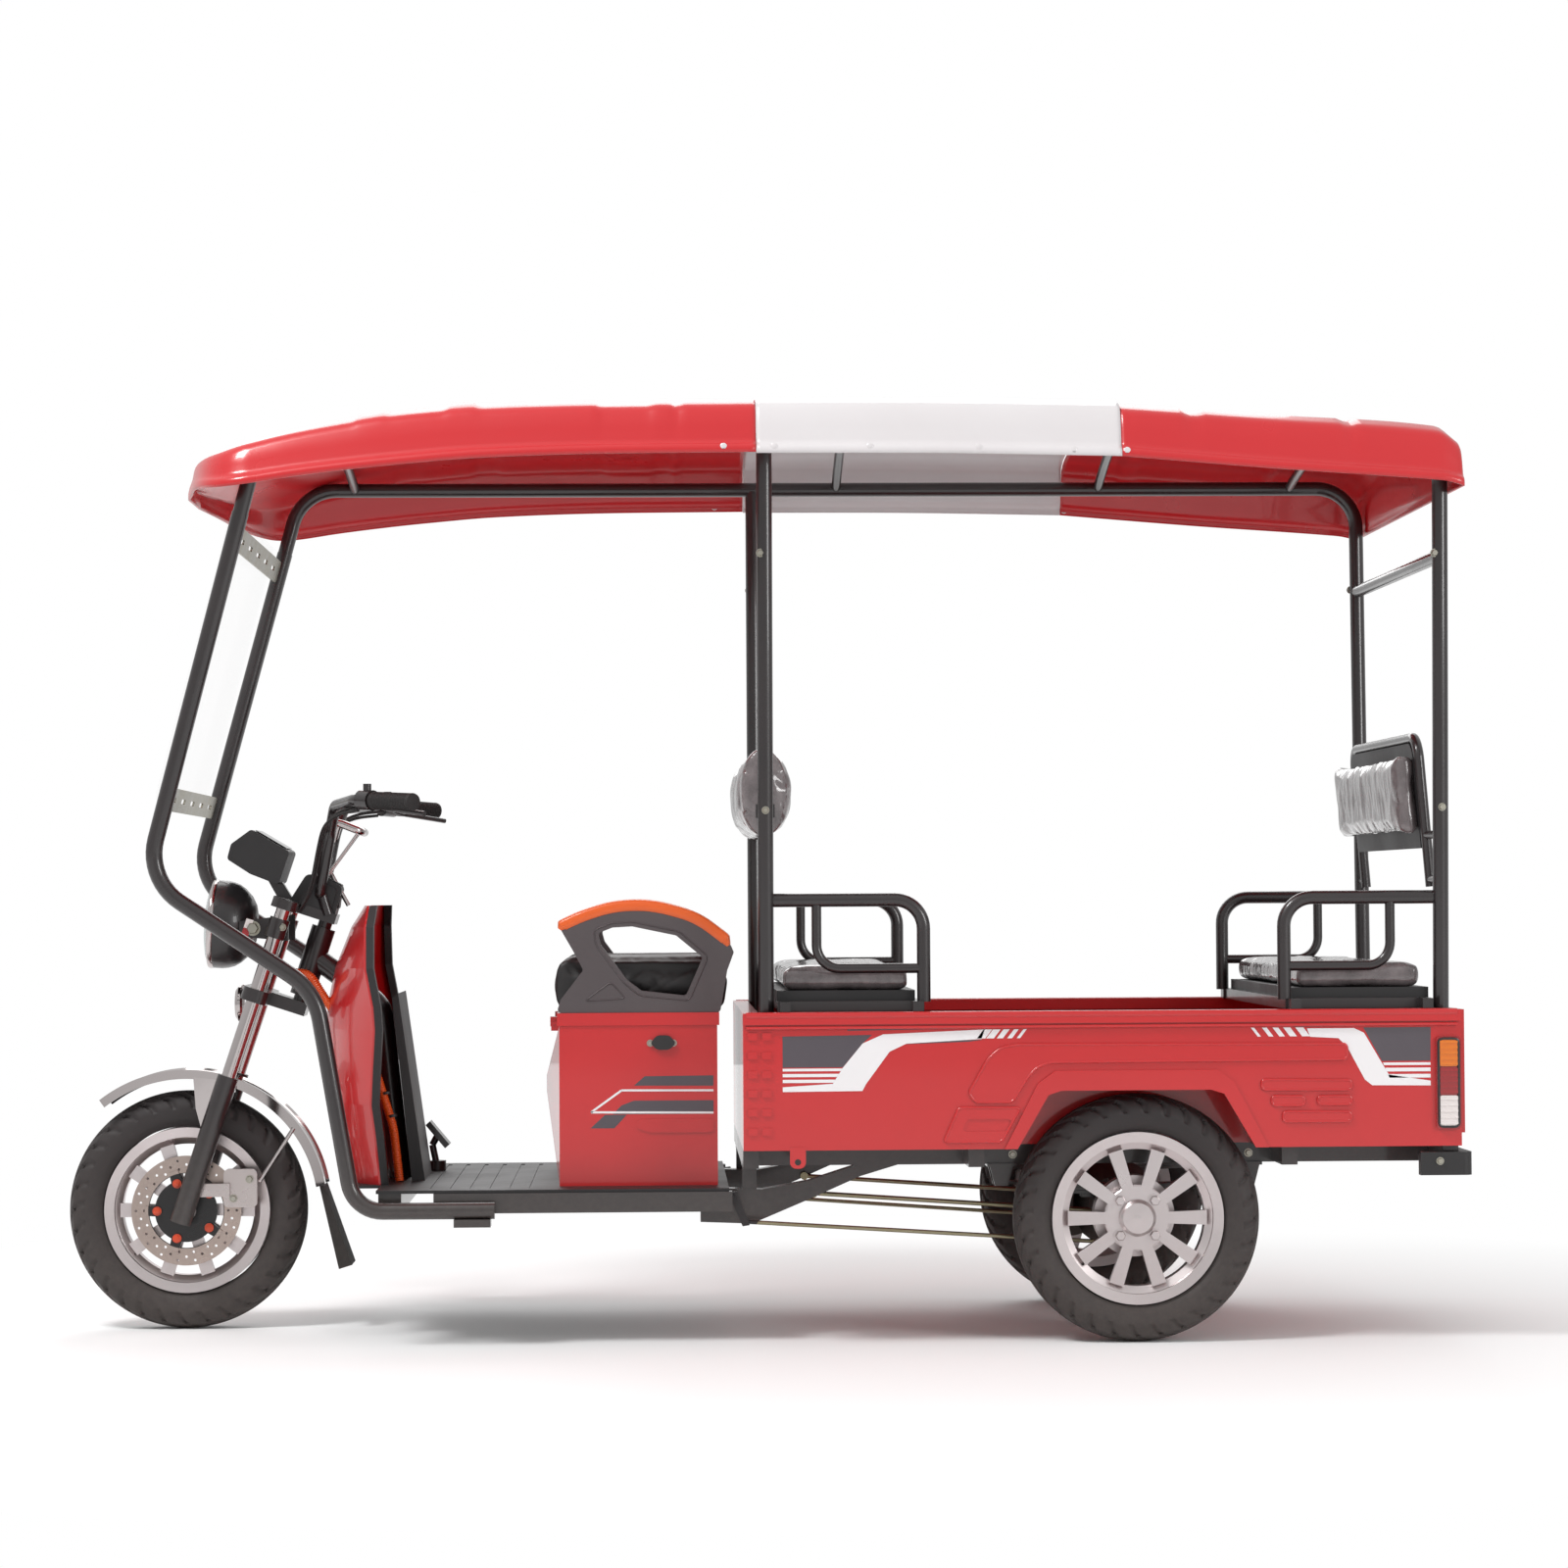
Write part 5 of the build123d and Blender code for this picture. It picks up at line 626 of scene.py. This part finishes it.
# Screw heads: node they sit on, body, x, z, width across flats, head height
SCREWS = (
    ("canopy_posts", "chassis", -11, 1510, 11, 5), ("canopy_posts", "chassis", -1304, 1507, 11, 5),
    ("canopy_posts", "chassis", -19, 1020, 10, 5), ("canopy_posts", "chassis", -1316, 1020, 10, 5),
    ("battery_box", "chassis", 158, 573, 9, 4), ("battery_box", "chassis", 203, 573, 9, 4),
    ("fork_clamps", "steering", 992, 798, 20, 8), ("fork_clamps", "steering", 930, 800, 10, 5),
    ("front_mudguard", "steering", 1080, 394, 10, 5), ("front_mudguard", "steering", 1058, 478, 9, 5),
    ("brake_caliper", "steering", 1000, 300, 11, 6), ("brake_caliper", "steering", 1032, 262, 11, 6),
    ("front_loops", "chassis", 1000, 1590, 14, 7), ("windscreen_rails", "chassis", 1050, 1180, 9, 4),
    ("windscreen_rails", "chassis", 1012, 1400, 9, 4), ("rear_bumper", "chassis", -1300, 345, 10, 5),
    ("main_frame", "chassis", -500, 352, 11, 6), ("main_frame", "chassis", -960, 352, 11, 6),
)


def screws():
    """Screw and bolt heads on both sides, each seated where its line meets the node."""
    for body in ("chassis", "steering"):
        bm = bmesh.new()
        for node, rides, x, z, across, height in SCREWS:
            for side in (-1, 1):
                y = wall_y(node, x, z, side) if rides == body else None
                if y:
                    bolt_head(bm, facing((x, side * y, z), (0, side, 0)), across, height)
        piece(body + "_screws", bm, ZINC, body, 30.0)


def headlamp():
    """Black bowl, bright rim, reflector and clear lens, with the side reflectors."""
    middle = centre("headlight")
    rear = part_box("headlight")[0][0] / MM
    tilt = math.radians(4.0)
    place = facing((rear + 3, 0, middle.z - 3), (math.cos(tilt), 0, math.sin(tilt)))
    bm = bmesh.new()
    bowl = [(0, 0), (32, 0), (44, 3), (60, 12), (74, 26), (82, 38), (86, 50), (88, 62), (88, 80), (82, 84)]
    turn(bm, bowl, 72, place)
    bead = [(86.0 + 3.6 * math.cos(a * math.pi / 6), 85.0 + 6.0 * math.sin(a * math.pi / 6))
            for a in range(12)]
    turn(bm, bead, 72, place, 1, closed=True)
    turn(bm, [(83, 84), (74, 70), (60, 58), (42, 50), (20, 46), (0, 45)], 72, place, 1)
    turn(bm, [(0, 47), (5, 47), (6, 62), (4, 66), (0, 66)], 20, place, 2)
    for side in (-1, 1):
        pivot = facing((rear + 17, side * 66, middle.z - 4), (0, side, 0))
        turn(bm, [(0, 0), (13, 0), (13, 5), (10, 8), (0, 8)], 24, pivot)
    piece("headlamp_bowl", bm, [TRIM_BLACK, CHROME, WHITE_LENS], "steering", 35.0,
          ["headlight"])
    bm = bmesh.new()
    turn(bm, [(84, 86), (82, 91), (70, 96), (52, 99.5), (30, 101.5), (0, 102)], 72, place)
    piece("headlamp_lens", bm, CLEAR_LENS, "steering")
    bm = bmesh.new()
    for side in (-1, 1):
        wall = wall_y("fork_clamps", 975.0, 798.0, side) or 78.0
        foil(bm, [(1003, 776), (1017, 780), (1010, 800), (997, 796)], wall, side, 4.0, 0)
        foil(bm, [(997, 796), (1010, 800), (1004, 818), (990, 814)], wall, side, 4.0, 1)
    piece("side_reflectors", bm, [RED_LENS, WHITE_LENS], "steering")


# Lens blocks of a tail lamp from the bottom up: start and end as shares of its height, colour
LENSES = ((0.0, 0.36, 2), (0.36, 0.68, 1), (0.68, 1.0, 0))


def tail_lights():
    """Ribbed lens blocks in amber, red and white, in a dark rim."""
    for side in (-1, 1):
        bm = bmesh.new()
        wall = wall_y("tail_lamps", -1318.0, 500.0, side)
        low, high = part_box("tail_lamps")
        z0, z1 = low[2] / MM + 5, high[2] / MM - 5
        x0, x1 = low[0] / MM + 5, high[0] / MM - 4
        for start, end, tone in LENSES:
            a, b = z0 + (z1 - z0) * start + 1, z0 + (z1 - z0) * end - 1
            foil(bm, flat(((x0, a), (x1, a), (x1, b), (x0, b)), 7.0), wall + 0.2, side, 2.0, tone)
            for k in range(5):
                z = a + (b - a) * (k + 0.5) / 5
                bar = [(x0 + 2, z - 2.2), (x1 - 2, z - 2.2), (x1 - 2, z + 2.2), (x0 + 2, z + 2.2)]
                foil(bm, bar, wall + 2.2, side, 1.4, tone)
        rim = rounded([Vector((x, side * (wall + 1.0), z))
                       for x, z in ((x0, z0), (x1, z0), (x1, z1), (x0, z1))], 9.0)
        sweep(bm, rim + rim[:2], 2.6, 8, 3)
        piece(sided("tail_lenses", side), bm, [AMBER_LENS, RED_LENS, WHITE_LENS, TRIM_BLACK], "chassis")


# Edges of the pressings in the box sides, from the box's front edge: a point on the raised face, outline
PRESS_EDGES = (
    ((-900, 555), ((-428, 481), (-464, 544), (-488, 565), (-518, 572), (-1150, 569), (-1150, 540),
                   (-583, 538), (-559, 529), (-541, 511), (-511, 463), (-440, 463))),
    ((-400, 400), ((-380, 388), (-409, 453), (-526, 452), (-490, 388))),
    ((-1070, 492), ((-987, 502), (-1158, 500), (-1158, 482), (-987, 483))),
    ((-1040, 462), ((-1006, 471), (-1068, 470), (-1068, 453), (-1006, 453))),
    ((-1126, 462), ((-1094, 470), (-1158, 470), (-1158, 454), (-1094, 454))),
    ((-1090, 431), ((-1027, 441), (-1157, 440), (-1157, 422), (-1027, 422))),
)
# Lines along the rim: how far below its top, how far inward, radius
RIM_LINES = ((5.0, 5.0, 7.0), (28.0, 1.5, 3.0))
BEAD_R, BEAD_SUNK = 2.6, 1.2


def box_relief():
    """Rolled rim and turned edges of the pressings, which catch the light as narrow lines."""
    low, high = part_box("box_sides")
    front, outer, top = (c / MM for c in high)
    rear = low[0] / MM
    bm = bmesh.new()
    for side in (-1, 1):
        for (px, pz), outline in PRESS_EDGES:
            face = wall_y("box_sides", front + px, pz, side)
            loop = rounded([(front + x, side * (face - BEAD_SUNK), z) for x, z in outline], 8.0)
            sweep(bm, loop + loop[:2], BEAD_R, 8)
        for down, inward, radius in RIM_LINES:
            y, z = side * (outer - inward), top - down
            sweep(bm, dense([Vector((front - 6, y, z)), Vector((rear + 8, y, z))], 20.0), radius)
    piece("box_relief", bm, RED_ENAMEL, "chassis", 60.0)


def key_housing():
    """Moulded housing round the key switch, behind the risers."""
    base = max(806.0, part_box("head_tube")[1][2] / MM + 8.0)
    outline = flat(((888, 908), (817, 881), (836, base), (928, base + 32)), 12.0)
    inner = flat(((880, 896), (828, 876), (843, base + 10), (908, base + 34)), 9.0)
    bm = bmesh.new()
    for side in (-1, 1):
        foil(bm, outline, -0.5, side, 34.0)
        foil(bm, inner, 33.0, side, 3.5)
    piece("key_housing", bm, BLACK_PP, "steering", 40.0)


# Route of the wiring conduit from the head tube to the floor
CONDUIT_ROUTE = ((916, 24, 703), (932, 52, 709), (882, 62, 709), (852, 68, 660), (800, 104, 590),
                 (752, 138, 575), (746, 140, 520), (710, 140, 405), (698.5, 140, 300))


def conduit():
    """Corrugated conduit over the same route as its node, and the clips that hold it."""
    bm = bmesh.new()
    path = dense(rounded(CONDUIT_ROUTE, 22.0, 7, closed=False), 1.1)
    sweep(bm, path, None, 14, 0, lambda s: 8.9 if (s / 4.4) % 1.0 < 0.5 else 7.7)
    piece("corrugated_conduit", bm, CONDUIT, "chassis", 60.0, ["wiring_conduit"])
    bm = bmesh.new()
    for x, z in ((728, 470), (716, 425)):
        sweep(bm, [Vector((x - 4, 140, z)), Vector((x - 3.2, 140, z + 5))], 10.2, 16)
    piece("conduit_clips", bm, BLACK_PP, "chassis")


# Control cables on each side, from the lever clamp along the riser to the top clamp
CABLE = ((762, 258, 1036), (806, 196, 1030), (842, 124, 1008), (857, 78, 960), (868, 66, 905), (880, 62, 866),
         (898, 60, 838))


def cables():
    """Two cable housings tied along each riser."""
    bm = bmesh.new()
    for side in (-1, 1):
        for shift in (0.0, 8.0):
            route = [Vector((x + shift * 0.8, side * (y + shift * 0.3), z - shift)) for x, y, z in CABLE]
            sweep(bm, dense(rounded(route, 40.0, 6, closed=False), 8.0), 3.2, 10)
    piece("control_cables", bm, SOFT_RUBBER, "steering")


# Key from the switch to its bent end, one rod of the cross bar, and the cross bar itself
KEY = ((852, 0, 902), (842, 0, 905), (826, 0, 874), (808, 0, 842))
ROD = ((852, 14, 900), (786, 22, 990))
CROSS_BAR = ((848, -56, 950), (832, -52, 1011), (778, -46, 989), (778, 46, 989), (832, 52, 1011),
             (848, 56, 950))
WINDOW_HALF = 62.0


def display():
    """Smoked window of the instruments, the chrome key and the cross bar with its rods."""
    front = Vector((FRONT_AXLE_X - 140, 0, 992.2))
    rear = Vector((FRONT_AXLE_X - 200, 0, 956.5))
    normal = Vector((rear.z - front.z, 0, front.x - rear.x)).normalized()
    half = Vector((0, WINDOW_HALF, 0))
    corners = [front + half, front - half, rear - half, rear + half]
    bm = bmesh.new()
    low_ring = [bm.verts.new(c + normal * 0.1) for c in corners]
    high_ring = [bm.verts.new(c + normal * 1.6) for c in corners]
    bm.faces.new(high_ring)
    for i in range(4):
        j = (i + 1) % 4
        bm.faces.new((low_ring[i], low_ring[j], high_ring[j], high_ring[i]))
    piece("display_window", bm, DARK_GLASS, "steering")
    bm = bmesh.new()
    sweep(bm, [Vector(p) for p in KEY], 4.5)
    for side in (-1, 1):
        sweep(bm, [Vector((x, side * y, z)) for x, y, z in ROD], 2.6, 10)
    sweep(bm, dense(rounded(CROSS_BAR, 16.0, 6, closed=False), 5.0), 8.0, 16)
    piece("key_lever_and_cross_bar", bm, CHROME, "steering")


def grip_ridges():
    """Moulded rings along the grips, and their end caps."""
    ring = [(16.45 + 0.9 * math.cos(a * math.pi / 4), 0.9 * math.sin(a * math.pi / 4)) for a in range(8)]
    bm = bmesh.new()
    for side in (-1, 1):
        tip, inner = Vector((656, side * 385, 1040)), Vector((775, side * 262, 1048))
        run = (inner - tip).normalized()
        for k in range(22):
            turn(bm, ring, 24, facing(tip + run * (8 + 4.6 * k), run), closed=True)
        turn(bm, [(0, -5), (7, -5), (15, -4), (17.5, -1), (17.5, 2), (16, 3)], 24, facing(tip, run))
    piece("grip_rings", bm, SOFT_RUBBER, "steering")


def islands(node):
    """Meshes in millimetres of a node's separate solids, from the rear forward, left ones last."""
    bm = bmesh.new()
    bm.from_mesh(NODES[node].data)
    bmesh.ops.remove_doubles(bm, verts=bm.verts, dist=1e-6)
    left = set(bm.verts)
    groups = []
    while left:
        stack, group = [left.pop()], []
        while stack:
            v = stack.pop()
            group.append(v)
            for e in v.link_edges:
                other = e.other_vert(v)
                if other in left:
                    left.remove(other)
                    stack.append(other)
        groups.append(group)
    made = []
    for group in groups:
        index = {v: i for i, v in enumerate(group)}
        faces = [[index[v] for v in f.verts] for f in bm.faces if f.verts[0] in index]
        made.append(([v.co / MM for v in group], faces))
    bm.free()
    return sorted(made, key=lambda part: (round(sum(v.x for v in part[0]) / len(part[0])),
                                          sum(v.y for v in part[0])))


# Top line of the arms over the driver's seat, and the middle, half width and half depth of their pads
ARM_LINE = ((41, 766), (50, 782), (108, 826), (199, 851), (275, 849), (341, 828), (379, 810), (386, 800))
ARM_Y, ARM_HALF, ARM_DEEP = 278.0, 24.5, 13.0
# Corners of a section through a pad, and the two beside which its seam runs
PAD_SIDES, SEAM_SIDES = 24, (5, 7)


def arm_pads():
    """Foam skins folded over the tops of the seat's arms, with tapered ends and a moulded seam."""
    bm = bmesh.new()
    line = dense(rounded([Vector((x, 0, z)) for x, z in ARM_LINE], 45.0, 7, closed=False), 4.0)
    for side in (-1, 1):
        rings = []
        for i, point in enumerate(line):
            ahead = (line[min(i + 1, len(line) - 1)] - line[max(i - 1, 0)]).normalized()
            up = Vector((-ahead.z, 0, ahead.x))
            end = min(1.0, (i + 1) / 5, (len(line) - i) / 5) ** 0.5
            ring = []
            for k in range(PAD_SIDES):
                angle = 2 * math.pi * k / PAD_SIDES
                c, s = math.cos(angle), math.sin(angle)
                wide = math.copysign(abs(c) ** 0.45, c) * ARM_HALF * (0.86 + 0.14 * end)
                high = math.copysign(abs(s) ** 0.6, s) * ARM_DEEP * end
                seam = 0.7 if k in SEAM_SIDES else 0.0
                across = Vector((0, side * ARM_Y + wide, 0))
                ring.append(bm.verts.new(point + across + up * (high - ARM_DEEP + 1.5 - seam)))
            rings.append(ring)
        for a, b in zip(rings, rings[1:]):
            for k in range(PAD_SIDES):
                j = (k + 1) % PAD_SIDES
                bm.faces.new((a[k], a[j], b[j], b[k]))
        bm.faces.new(rings[0])
        bm.faces.new(rings[-1])
    pad = piece("arm_pad_skins", bm, ORANGE_PU, "driver_seat", 60.0, ["seat_arm_pads"])


# Moulded lines on the outer faces of the arms: round the opening and a three-sided recess behind it
ARM_LINES = (
    ((312, 792), (278, 806), (236, 808), (146, 789), (90, 740), (127, 655), (223, 665), (254, 690),
     (307, 762)),
    ((330, 655), (279, 692), (250, 660)),
)


def arm_lines():
    """Raised beads of the same plastic as the arms, on both outer faces."""
    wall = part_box("seat_arms")[1][1] / MM
    bm = bmesh.new()
    for side in (-1, 1):
        for corners in ARM_LINES:
            loop = rounded([(x, side * wall, z) for x, z in corners], 9.0)
            sweep(bm, loop + loop[:2], 1.5, 6)
    piece("arm_moulding_lines", bm, GREY_PP, "driver_seat", 60.0)


# Padded pieces: node, body, slot, finish, voxel, inset, fold depth and fold width in mm, fill
PADS = (
    # The bench and back pads take the wrap finish, whose pale colour clouds are painted glints.
    ("bench_pads", "chassis", "wrapped_seat", WRAPPED_VINYL_PAINTED_GLINTS, 7.0, 6.0, 2.6, 44.0, 0.8),
    ("back_pads", "chassis", "wrapped_seat", WRAPPED_VINYL_PAINTED_GLINTS, 7.0, 5.0, 4.5, 40.0, 0.7),
    ("seat_pad", "driver_seat", "black_seat", VINYL, 6.0, 6.0, 0.3, 60.0, 0.9),
)
# The furthest that the pressure may move a point, in mm, and the length of its run
SWELL_CAP, FRAMES = 8.0, 20


def pads():
    """Every cushion: its solid drawn in, remeshed, blown up as cloth, capped and folded."""
    work = []
    for node, body, slot, cover, voxel, inset, fold, fold_w, fill in PADS:
        for n, (points, faces) in enumerate(islands(node)):
            mesh = bpy.data.meshes.new(node)
            mesh.from_pydata([p * MM for p in points], [], faces)
            mesh.update()
            low = min(v.co.z for v in mesh.vertices)
            normals = [v.normal.copy() for v in mesh.vertices]
            for v, normal in zip(mesh.vertices, normals):
                v.co -= normal * inset * MM
            obj = bpy.data.objects.new("%s_cushion_%d" % (node, n), mesh)
            SCENE.collection.objects.link(obj)
            grid = obj.modifiers.new("grid", "REMESH")
            grid.mode = "VOXEL"
            grid.voxel_size = voxel * MM
            baked = bpy.data.meshes.new_from_object(obj.evaluated_get(bpy.context.evaluated_depsgraph_get()))
            obj.modifiers.clear()
            obj.data = baked
            work.append((obj, node, body, slot, cover, fold, fold_w, fill, low))
    for obj, *_ in work:
        cloth = obj.modifiers.new("cloth", "CLOTH").settings
        cloth.use_pressure = True
        cloth.uniform_pressure_force = 4.0
        cloth.effector_weights.gravity = 0.0
        cloth.quality = 4
        cloth.mass = 0.4
    for number in range(1, FRAMES + 1):
        SCENE.frame_set(number)
    for obj, node, body, slot, cover, fold, fold_w, fill, low in work:
        seen = obj.evaluated_get(bpy.context.evaluated_depsgraph_get())
        moved = [v.co.copy() for v in seen.data.vertices]
        normals = [v.normal.copy() for v in seen.data.vertices]
        obj.modifiers.clear()
        for v, target, normal in zip(obj.data.vertices, moved, normals):
            step = target - v.co
            if step.length > SWELL_CAP * MM:
                step = step.normalized() * SWELL_CAP * MM
            spot = v.co + step
            x, y, z = spot / MM / fold_w
            wave = noise.noise(Vector((x, y, z * 0.3)))
            wave += 0.6 * noise.noise(Vector((x * 2.7, y * 2.7, z * 0.9 + 7.0)))
            v.co = spot + normal * wave * fold * MM
            v.co.z = max(v.co.z, low + 0.2 * MM)
        obj.data.shade_smooth()
        obj.data.materials.clear()
        obj.data.materials.append(cover)
        finer = obj.modifiers.new("finer", "SUBSURF")
        finer.levels = finer.render_levels = 1
        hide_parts(node)
        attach(obj, body)
    SCENE.frame_set(1)


# Fitted camera: picture width and lens in pixels, shift of the picture's middle, roll, place in metres
PICTURE_W, LENS, SHIFT, ROLL = 1600.0, 3983.0, (-130.0, -115.0), -0.0046
EYE = (0.1893, 7.875, 0.8564)


def camera():
    """The view of the photograph: a long lens level with the seats, from the rider's left."""
    data = bpy.data.cameras.new("camera")
    data.sensor_width = 36.0
    data.lens = LENS * data.sensor_width / PICTURE_W
    data.clip_end = 100.0
    eye = bpy.data.objects.new("camera", data)
    SCENE.collection.objects.link(eye)
    away = Vector((SHIFT[0] / LENS, SHIFT[1] / LENS, -1.0)).normalized()
    up = Vector((math.sin(ROLL), math.cos(ROLL), 0.0))
    up = (up - away * up.dot(away)).normalized()
    back = -away
    side = back.cross(up)
    eye.matrix_world = Matrix.Translation(EYE) @ Matrix((side, back, up)).to_4x4()
    SCENE.camera = eye


# Area lamps: name, place, size in metres, power in watts
LAMPS = (
    ("key", (3.2, 2.6, 5.8), 1.6, 235.0),
    ("fill", (-4.5, 4.5, 2.2), 1.8, 95.0),
    ("rim", (0.0, -4.5, 4.0), 4.0, 100.0),
)


def stage():
    """Pale floor and backdrop, a soft key from above, a fill and a light from behind."""
    world = bpy.data.worlds.new("studio")
    SCENE.world = world
    world.use_nodes = True
    tree = world.node_tree
    tree.nodes.clear()
    rays = add(tree, "ShaderNodeLightPath").outputs
    through = add(tree, "ShaderNodeMath", {"operation": "MAXIMUM"},
                  {0: rays["Is Camera Ray"], 1: rays["Is Transmission Ray"]})
    mirrored = add(tree, "ShaderNodeMath", {"operation": "MULTIPLY", 1: 0.5}, {0: rays["Is Glossy Ray"]})
    seen = add(tree, "ShaderNodeMath", {"operation": "MAXIMUM"},
               {0: through.outputs[0], 1: mirrored.outputs[0]})
    height = add(tree, "ShaderNodeSeparateXYZ",
                 links={0: add(tree, "ShaderNodeTexCoord").outputs["Generated"]})
    glow = add(tree, "ShaderNodeMapRange",
               {"From Min": -0.15, "From Max": 0.7, "To Min": 0.14, "To Max": 0.7},
               {"Value": height.outputs["Z"]})
    level = add(tree, "ShaderNodeMix", {"data_type": "FLOAT", 3: 1.0},
                {0: seen.outputs[0], 2: glow.outputs[0]})
    light = add(tree, "ShaderNodeBackground", {"Color": linear("#FFFFFF")}, {"Strength": level.outputs[0]})
    add(tree, "ShaderNodeOutputWorld", links={"Surface": light.outputs[0]})
    mesh = bpy.data.meshes.new("floor")
    mesh.from_pydata([(-12, -12, 0), (12, -12, 0), (12, 12, 0), (-12, 12, 0)], [], [(0, 1, 2, 3)])
    floor = bpy.data.objects.new("floor", mesh)
    SCENE.collection.objects.link(floor)
    paper = bpy.data.materials.new("pale_paper_floor")
    paper.use_nodes = True
    tree = paper.node_tree
    tree.nodes.clear()
    matt = add(tree, "ShaderNodeBsdfPrincipled", {"Base Color": linear("#FCFCFC"), "Roughness": 0.9})
    white = add(tree, "ShaderNodeEmission", {"Color": linear("#FFFFFF"), "Strength": 1.0})
    away = add(tree, "ShaderNodeVectorMath", {"operation": "LENGTH"},
               {0: add(tree, "ShaderNodeTexCoord").outputs["Object"]}).outputs["Value"]
    fade = add(tree, "ShaderNodeMapRange", {"From Min": 1.4, "From Max": 2.6}, {"Value": away})
    both = add(tree, "ShaderNodeMixShader", {}, {0: fade.outputs[0], 1: matt.outputs[0], 2: white.outputs[0]})
    add(tree, "ShaderNodeOutputMaterial", links={"Surface": both.outputs[0]})
    mesh.materials.append(paper)
    for name, spot, size, power in LAMPS:
        lamp = bpy.data.lights.new(name, "AREA")
        lamp.size = size
        lamp.energy = power
        holder = bpy.data.objects.new(name, lamp)
        holder.location = spot
        holder.rotation_euler = (Vector((0, 0, 0.7)) - Vector(spot)).to_track_quat("-Z", "Y").to_euler()
        SCENE.collection.objects.link(holder)
    SCENE.view_settings.view_transform = "Standard"


dress_nodes()
wheels()
canopy()
foils()
screws()
headlamp()
tail_lights()
box_relief()
key_housing()
conduit()
cables()
display()
grip_ridges()
arm_pads()
arm_lines()
pads()
camera()
stage()
